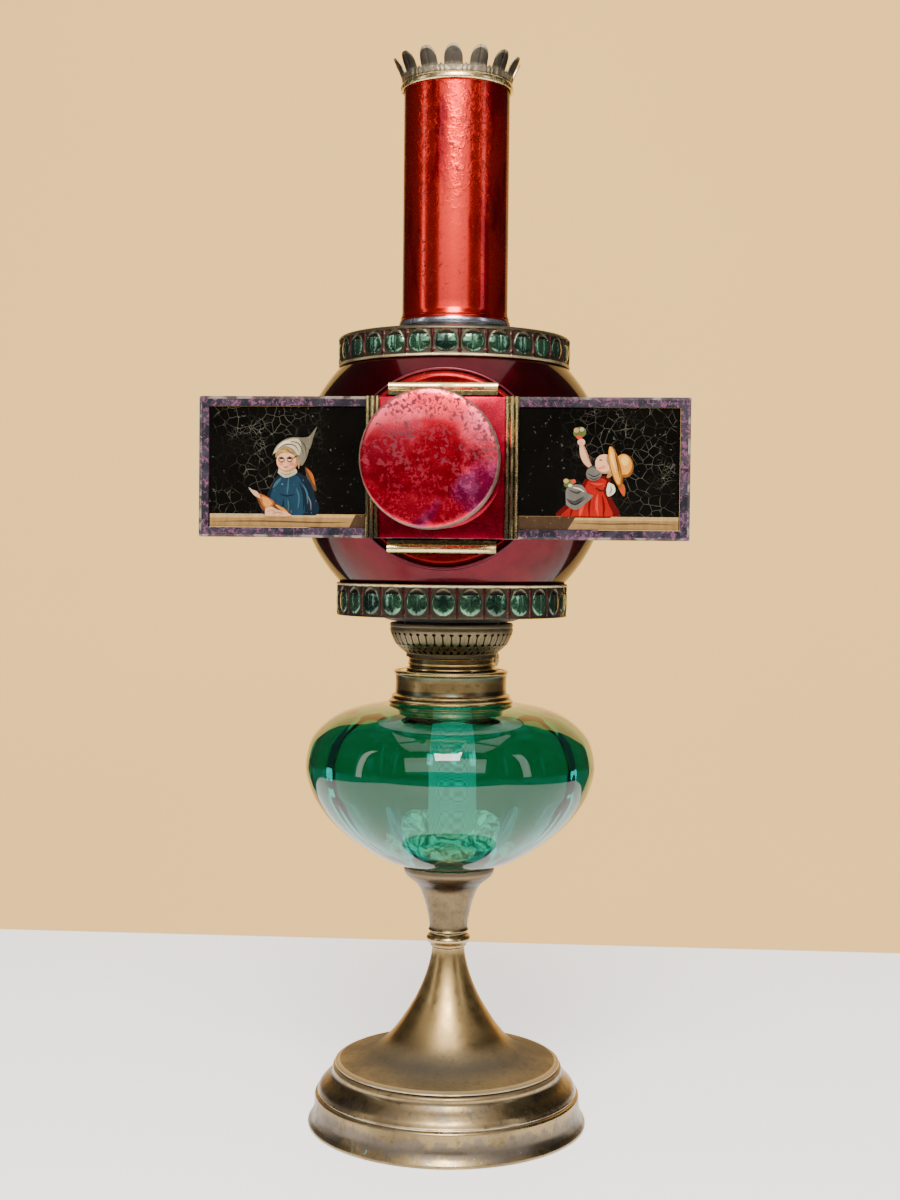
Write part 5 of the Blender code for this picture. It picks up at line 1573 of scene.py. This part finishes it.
# ---- objective and its cap
objective = {
    "socket": [(27.1, 80.9), (30.0, 80.9), (30.0, 81.5), (29.2, 82.0), (28.2, 82.2), (28.0, 82.8), (28.0, 110.6)]
    + flow([(28.2, 110.8), (28.5, 111.3), (28.2, 111.9), (27.6, 112.0)], 3)
    + [(27.1, 111.6)],
    "draw": [(25.1, 90.0), (26.0, 90.0), (26.0, 146.2), (25.1, 146.2)],
    "head": [(26.4, 132.0), (29.4, 132.0)]
    + flow([(30.0, 132.2), (30.5, 132.8), (30.3, 133.6), (29.8, 134.0)], 3)
    + [(29.7, 136.0), (30.4, 136.4), (30.4, 140.0), (29.8, 140.4), (29.8, 147.6), (30.5, 148.0), (30.6, 156.0)]
    + [(29.8, 157.0), (28.4, 157.0), (28.4, 147.6), (24.0, 147.6), (24.0, 146.6), (26.4, 146.6)],
    "lens": [(0, 148.4), (27.7, 148.4), (27.7, 150.4)]
    + flow([(27.0, 151.0), (20.8, 152.6), (11.1, 154.1), (0, 154.6)], 6),
    "condenser": flow([(0, 48.0), (15.7, 49.3), (26.8, 52.6), (31.5, 55.6)], 6)
    + flow([(31.5, 57.4), (26.8, 60.4), (15.7, 63.7), (0, 65.0)], 6),
    "rear": flow([(0, 96.0), (14.8, 96.7), (24.6, 98.4)], 5) + flow([(24.6, 100.0), (14.8, 101.7), (0, 102.4)], 5),
    "cap": flow(
        [(0, 160.0), (8.0, 159.95), (18.0, 159.65), (27.0, 159.0), (30.0, 158.55), (31.0, 158.1), (31.4, 157.4)], 6
    )
    + [(31.4, 156.4), (31.4, 150.0)]
    + flow([(31.6, 149.7), (31.7, 149.2), (31.3, 149.0), (31.0, 149.3)], 3)
    + [(31.0, 157.3), (30.4, 157.9), (18.0, 158.7), (0, 158.9)],
}
headBrass = brassFinish("headBrass", (0.42, 0.30, 0.14), (0.24, 0.17, 0.09), (0.08, 0.06, 0.04), 0.28, 0.6)


def capFinish():
    red = Finish("capLacquer", Coat_Roughness=0.05, Specular_Tint=(0.6, 0.2, 0.2, 1))
    x, y, z = red.axes()
    across, up = x * 1000 / 31, (z * 1000 - opticAxis) / 31
    mottle, fine = red.noise(70, 5, 0.65), red.noise(330, 5, 0.6)
    colour = red.mix((mottle * 0.7 + fine * 0.3).over(0.5, 0.14), (0.55, 0.002, 0.022), (0.95, 0.018, 0.05))
    # the top is lighter and pinker: painted reflection of the light from above
    paintedTopSheen = up.over(0.1, 0.6) * red.noise(34, 4).over(0.46, 0.12)
    colour = red.mix(paintedTopSheen * 0.75, colour, (1.0, 0.13, 0.21))
    deep = red.noise(30, 3, 0.5, red.stretch(move=(0.012, 0, 0.021))).over(0.54, 0.035) * up.under(0.55, 0.3)
    colour = red.mix(deep * 0.85, colour, (0.27, 0.0008, 0.010))
    # the lower part is darker: painted shade
    colour = red.mix(up.under(-0.35, 0.3) * 0.55, colour, (0.36, 0.0012, 0.02))
    plum = red.noise(46, 2, 0.5, red.stretch((1, 1, 0.6))).over(0.47, 0.03)
    plum = plum * (across - up).over(0.75, 0.12) * up.under(-0.05, 0.15)
    colour = red.mix(plum * 0.8, colour, red.mix(mottle.over(0.5, 0.04), (0.26, 0.004, 0.075), (0.46, 0.06, 0.22)))
    dots = red.noise(640, 3, 0.55).over(0.525, 0.03)
    clumps = red.noise(85, 6, 0.75).over(0.515, 0.05)
    thick = 0.25 + 0.75 * (up + across * 0.25).over(-0.25, 0.5)
    spots = (dots * clumps * thick + red.noise(300, 4, 0.6).over(0.625, 0.02) * thick).clip()
    colour = red.mix(spots * 0.9, colour, (0.045, 0.022, 0.032))
    radius = (x * x + (z - opticAxis * mm) ** 2) ** 0.5 * 1000
    side = radius.over(30.75, 0.15)  # bare down the side, where fingers take hold
    colour = red.mix(side, colour, red.mix(fine, (0.10, 0.065, 0.05), (0.24, 0.18, 0.14)))
    gloss = 0.24 + 0.15 * (fine - 0.5) + 0.3 * spots + 0.15 * side
    relief = red.bump(red.noise(40, 2) + plum * red.noise(90, 2) * 0.8, 0.35, 0.0016)
    dull = (spots * 0.6 + side * 0.3).clip()
    metal, coat = 0.88 - dull, 0.6 - dull
    return red.done(Base_Color=colour, Metallic=metal, Roughness=gloss.clip(), Coat_Weight=coat, Normal=relief)


def makeObjective():
    turnedPiece("lensSocket", "lens_socket", "lantern", plateLacquer, objective["socket"], 144, "Y")
    turnedPiece("drawTube", "draw_tube", "objective", brightTin, objective["draw"], 144, "Y")
    turnedPiece("lensHead", "lens_head", "objective", headBrass, objective["head"], 168, "Y")
    clear = Finish("lensGlass", Base_Color=(0.93, 0.96, 0.94, 1), Transmission_Weight=1.0, IOR=1.52)
    dust = clear.noise(160, 5, 0.7).over(0.60, 0.1)
    clear.done(Roughness=0.01 + 0.12 * dust)
    turnedPiece("frontLens", "front_lens", "objective", clear.material, objective["lens"], 120, "Y")
    turnedPiece("rearLens", "rear_lens", "objective", clear.material, objective["rear"], 120, "Y")
    turnedPiece("condenserLens", "condenser_lens", "lantern", clear.material, objective["condenser"], 120, "Y")
    refinish("front_lens_ring", headBrass)
    turnedPiece("lensCap", "lens_cap", "cap", capFinish(), objective["cap"], 192, "Y")
    print("objective made")


makeObjective()

# ---- chimney with its rim and leaf crown
chimney = {
    "tube": [(27.5, 430.2), (28.9, 429.6)]
    + flow([(29.6, 429.4), (29.9, 430.2), (29.8, 431.6), (29.3, 432.9)], 4)
    + flow([(28.9, 433.5), (29.1, 434.0), (28.9, 434.5), (28.6, 435.6), (28.4, 436.4)], 4)
    + [(28.3, 437.4 + 4.0 * i) for i in range(30)]
    + [(28.3, 558.0), (27.5, 558.0), (27.5, 437.0)],
    "rim": flow(
        [(28.7, 555.4), (29.6, 555.3), (30.2, 556.0), (30.3, 557.0), (30.0, 558.2), (29.2, 558.8), (28.7, 558.8)], 5
    )
    + [(28.65, 557.0)],
    "leaves": 14,
    # half widths of a leaf and of a curl are shares of one repeat
    "crown": {
        "foot": (29.1, 559.1),
        "band": 3.4,
        "leaf": 9.2,
        "flare": 3.9,
        "wall": 0.6,
        "leafShare": 0.375,
        "curlShare": 0.055,
    },
}


def crownUnit():
    # one repeat: a scalloped band with a leaf in the middle and a small curl at each side
    footRadius, footZ = chimney["crown"]["foot"]
    bandTall, leafTall, flare = (chimney["crown"][k] for k in ("band", "leaf", "flare"))
    leafShare, curlShare = chimney["crown"]["leafShare"], chimney["crown"]["curlShare"]
    span = math.tau / chimney["leaves"]
    columns, rise = 40, 16
    shape = bmesh.new()
    mark = shape.verts.layers.float.new("edge")
    rows = []
    for j in range(rise + 1):
        row = []
        for i in range(columns + 1):
            u = -0.5 + i / columns
            across, side = u / leafShare, 0.5 - abs(u)
            leaf = math.sqrt(max(0.0, 1 - across**2)) ** 0.8 if abs(across) < 1 else 0
            curl = max(0.0, math.cos(side * math.pi / (2 * curlShare))) if side < curlShare else 0
            top = bandTall + leafTall * leaf + (0.9 * curl if not leaf else 0)
            h = top * (j / rise) ** 0.9
            over = max(0.0, h - bandTall * 0.6)
            r = footRadius + 0.25 * h / bandTall + flare * (over / (bandTall * 0.4 + leafTall)) ** 1.25
            swell = math.exp(-(((h - bandTall * 0.55) / 1.5) ** 2))
            r += swell * (0.45 * math.cos(across * math.pi) ** 2 if abs(across) < 1 else 0.35 * curl)
            if leaf and h > bandTall:
                r += 0.5 * (1 - across**2) - 0.25 * math.exp(-((u / 0.03) ** 2))
            vertex = ringPoint(shape, r, u * span, footZ + h)
            vertex[mark] = 0.4 + 0.3 * swell + (0.3 if j > rise - 2 else 0)
            row.append(vertex)
        rows.append(row)
    joinRows(shape, rows)
    return plainMesh("crownLeaf", shape)


def makeChimney():
    red = lacquerFinish(
        "chimneyLacquer", (0.16, 0.0008, 0.004), (0.32, 0.003, 0.012), speckle=1.2, rough=0.22, grain=90,
        faded=(0.58, 0.024, 0.014),
    )
    turnedPiece("chimneyTube", "chimney_tube", "chimney", red, chimney["tube"], 160)
    rimGilt = giltFinish("rimGilt", (0.80, 0.64, 0.32), (0.55, 0.43, 0.22), (0.16, 0.13, 0.08), 0.62)
    turnedPiece("chimneyRim", "chimney_rim", "chimney", rimGilt, chimney["rim"], 144)
    crown = chimney["crown"]
    mesh = ringOf("leafCrown", crownUnit(), chimney["leaves"], burnerBrass, start=-90, wall=crown["wall"], angle=60)
    crownBrass = brassFinish("crownBrass", (0.30, 0.25, 0.17), (0.17, 0.145, 0.11), (0.05, 0.045, 0.04), 0.36)
    addPiece("leafCrown", mesh, crownBrass, "chimney", "chimney_crown")
    print("chimney made")


makeChimney()
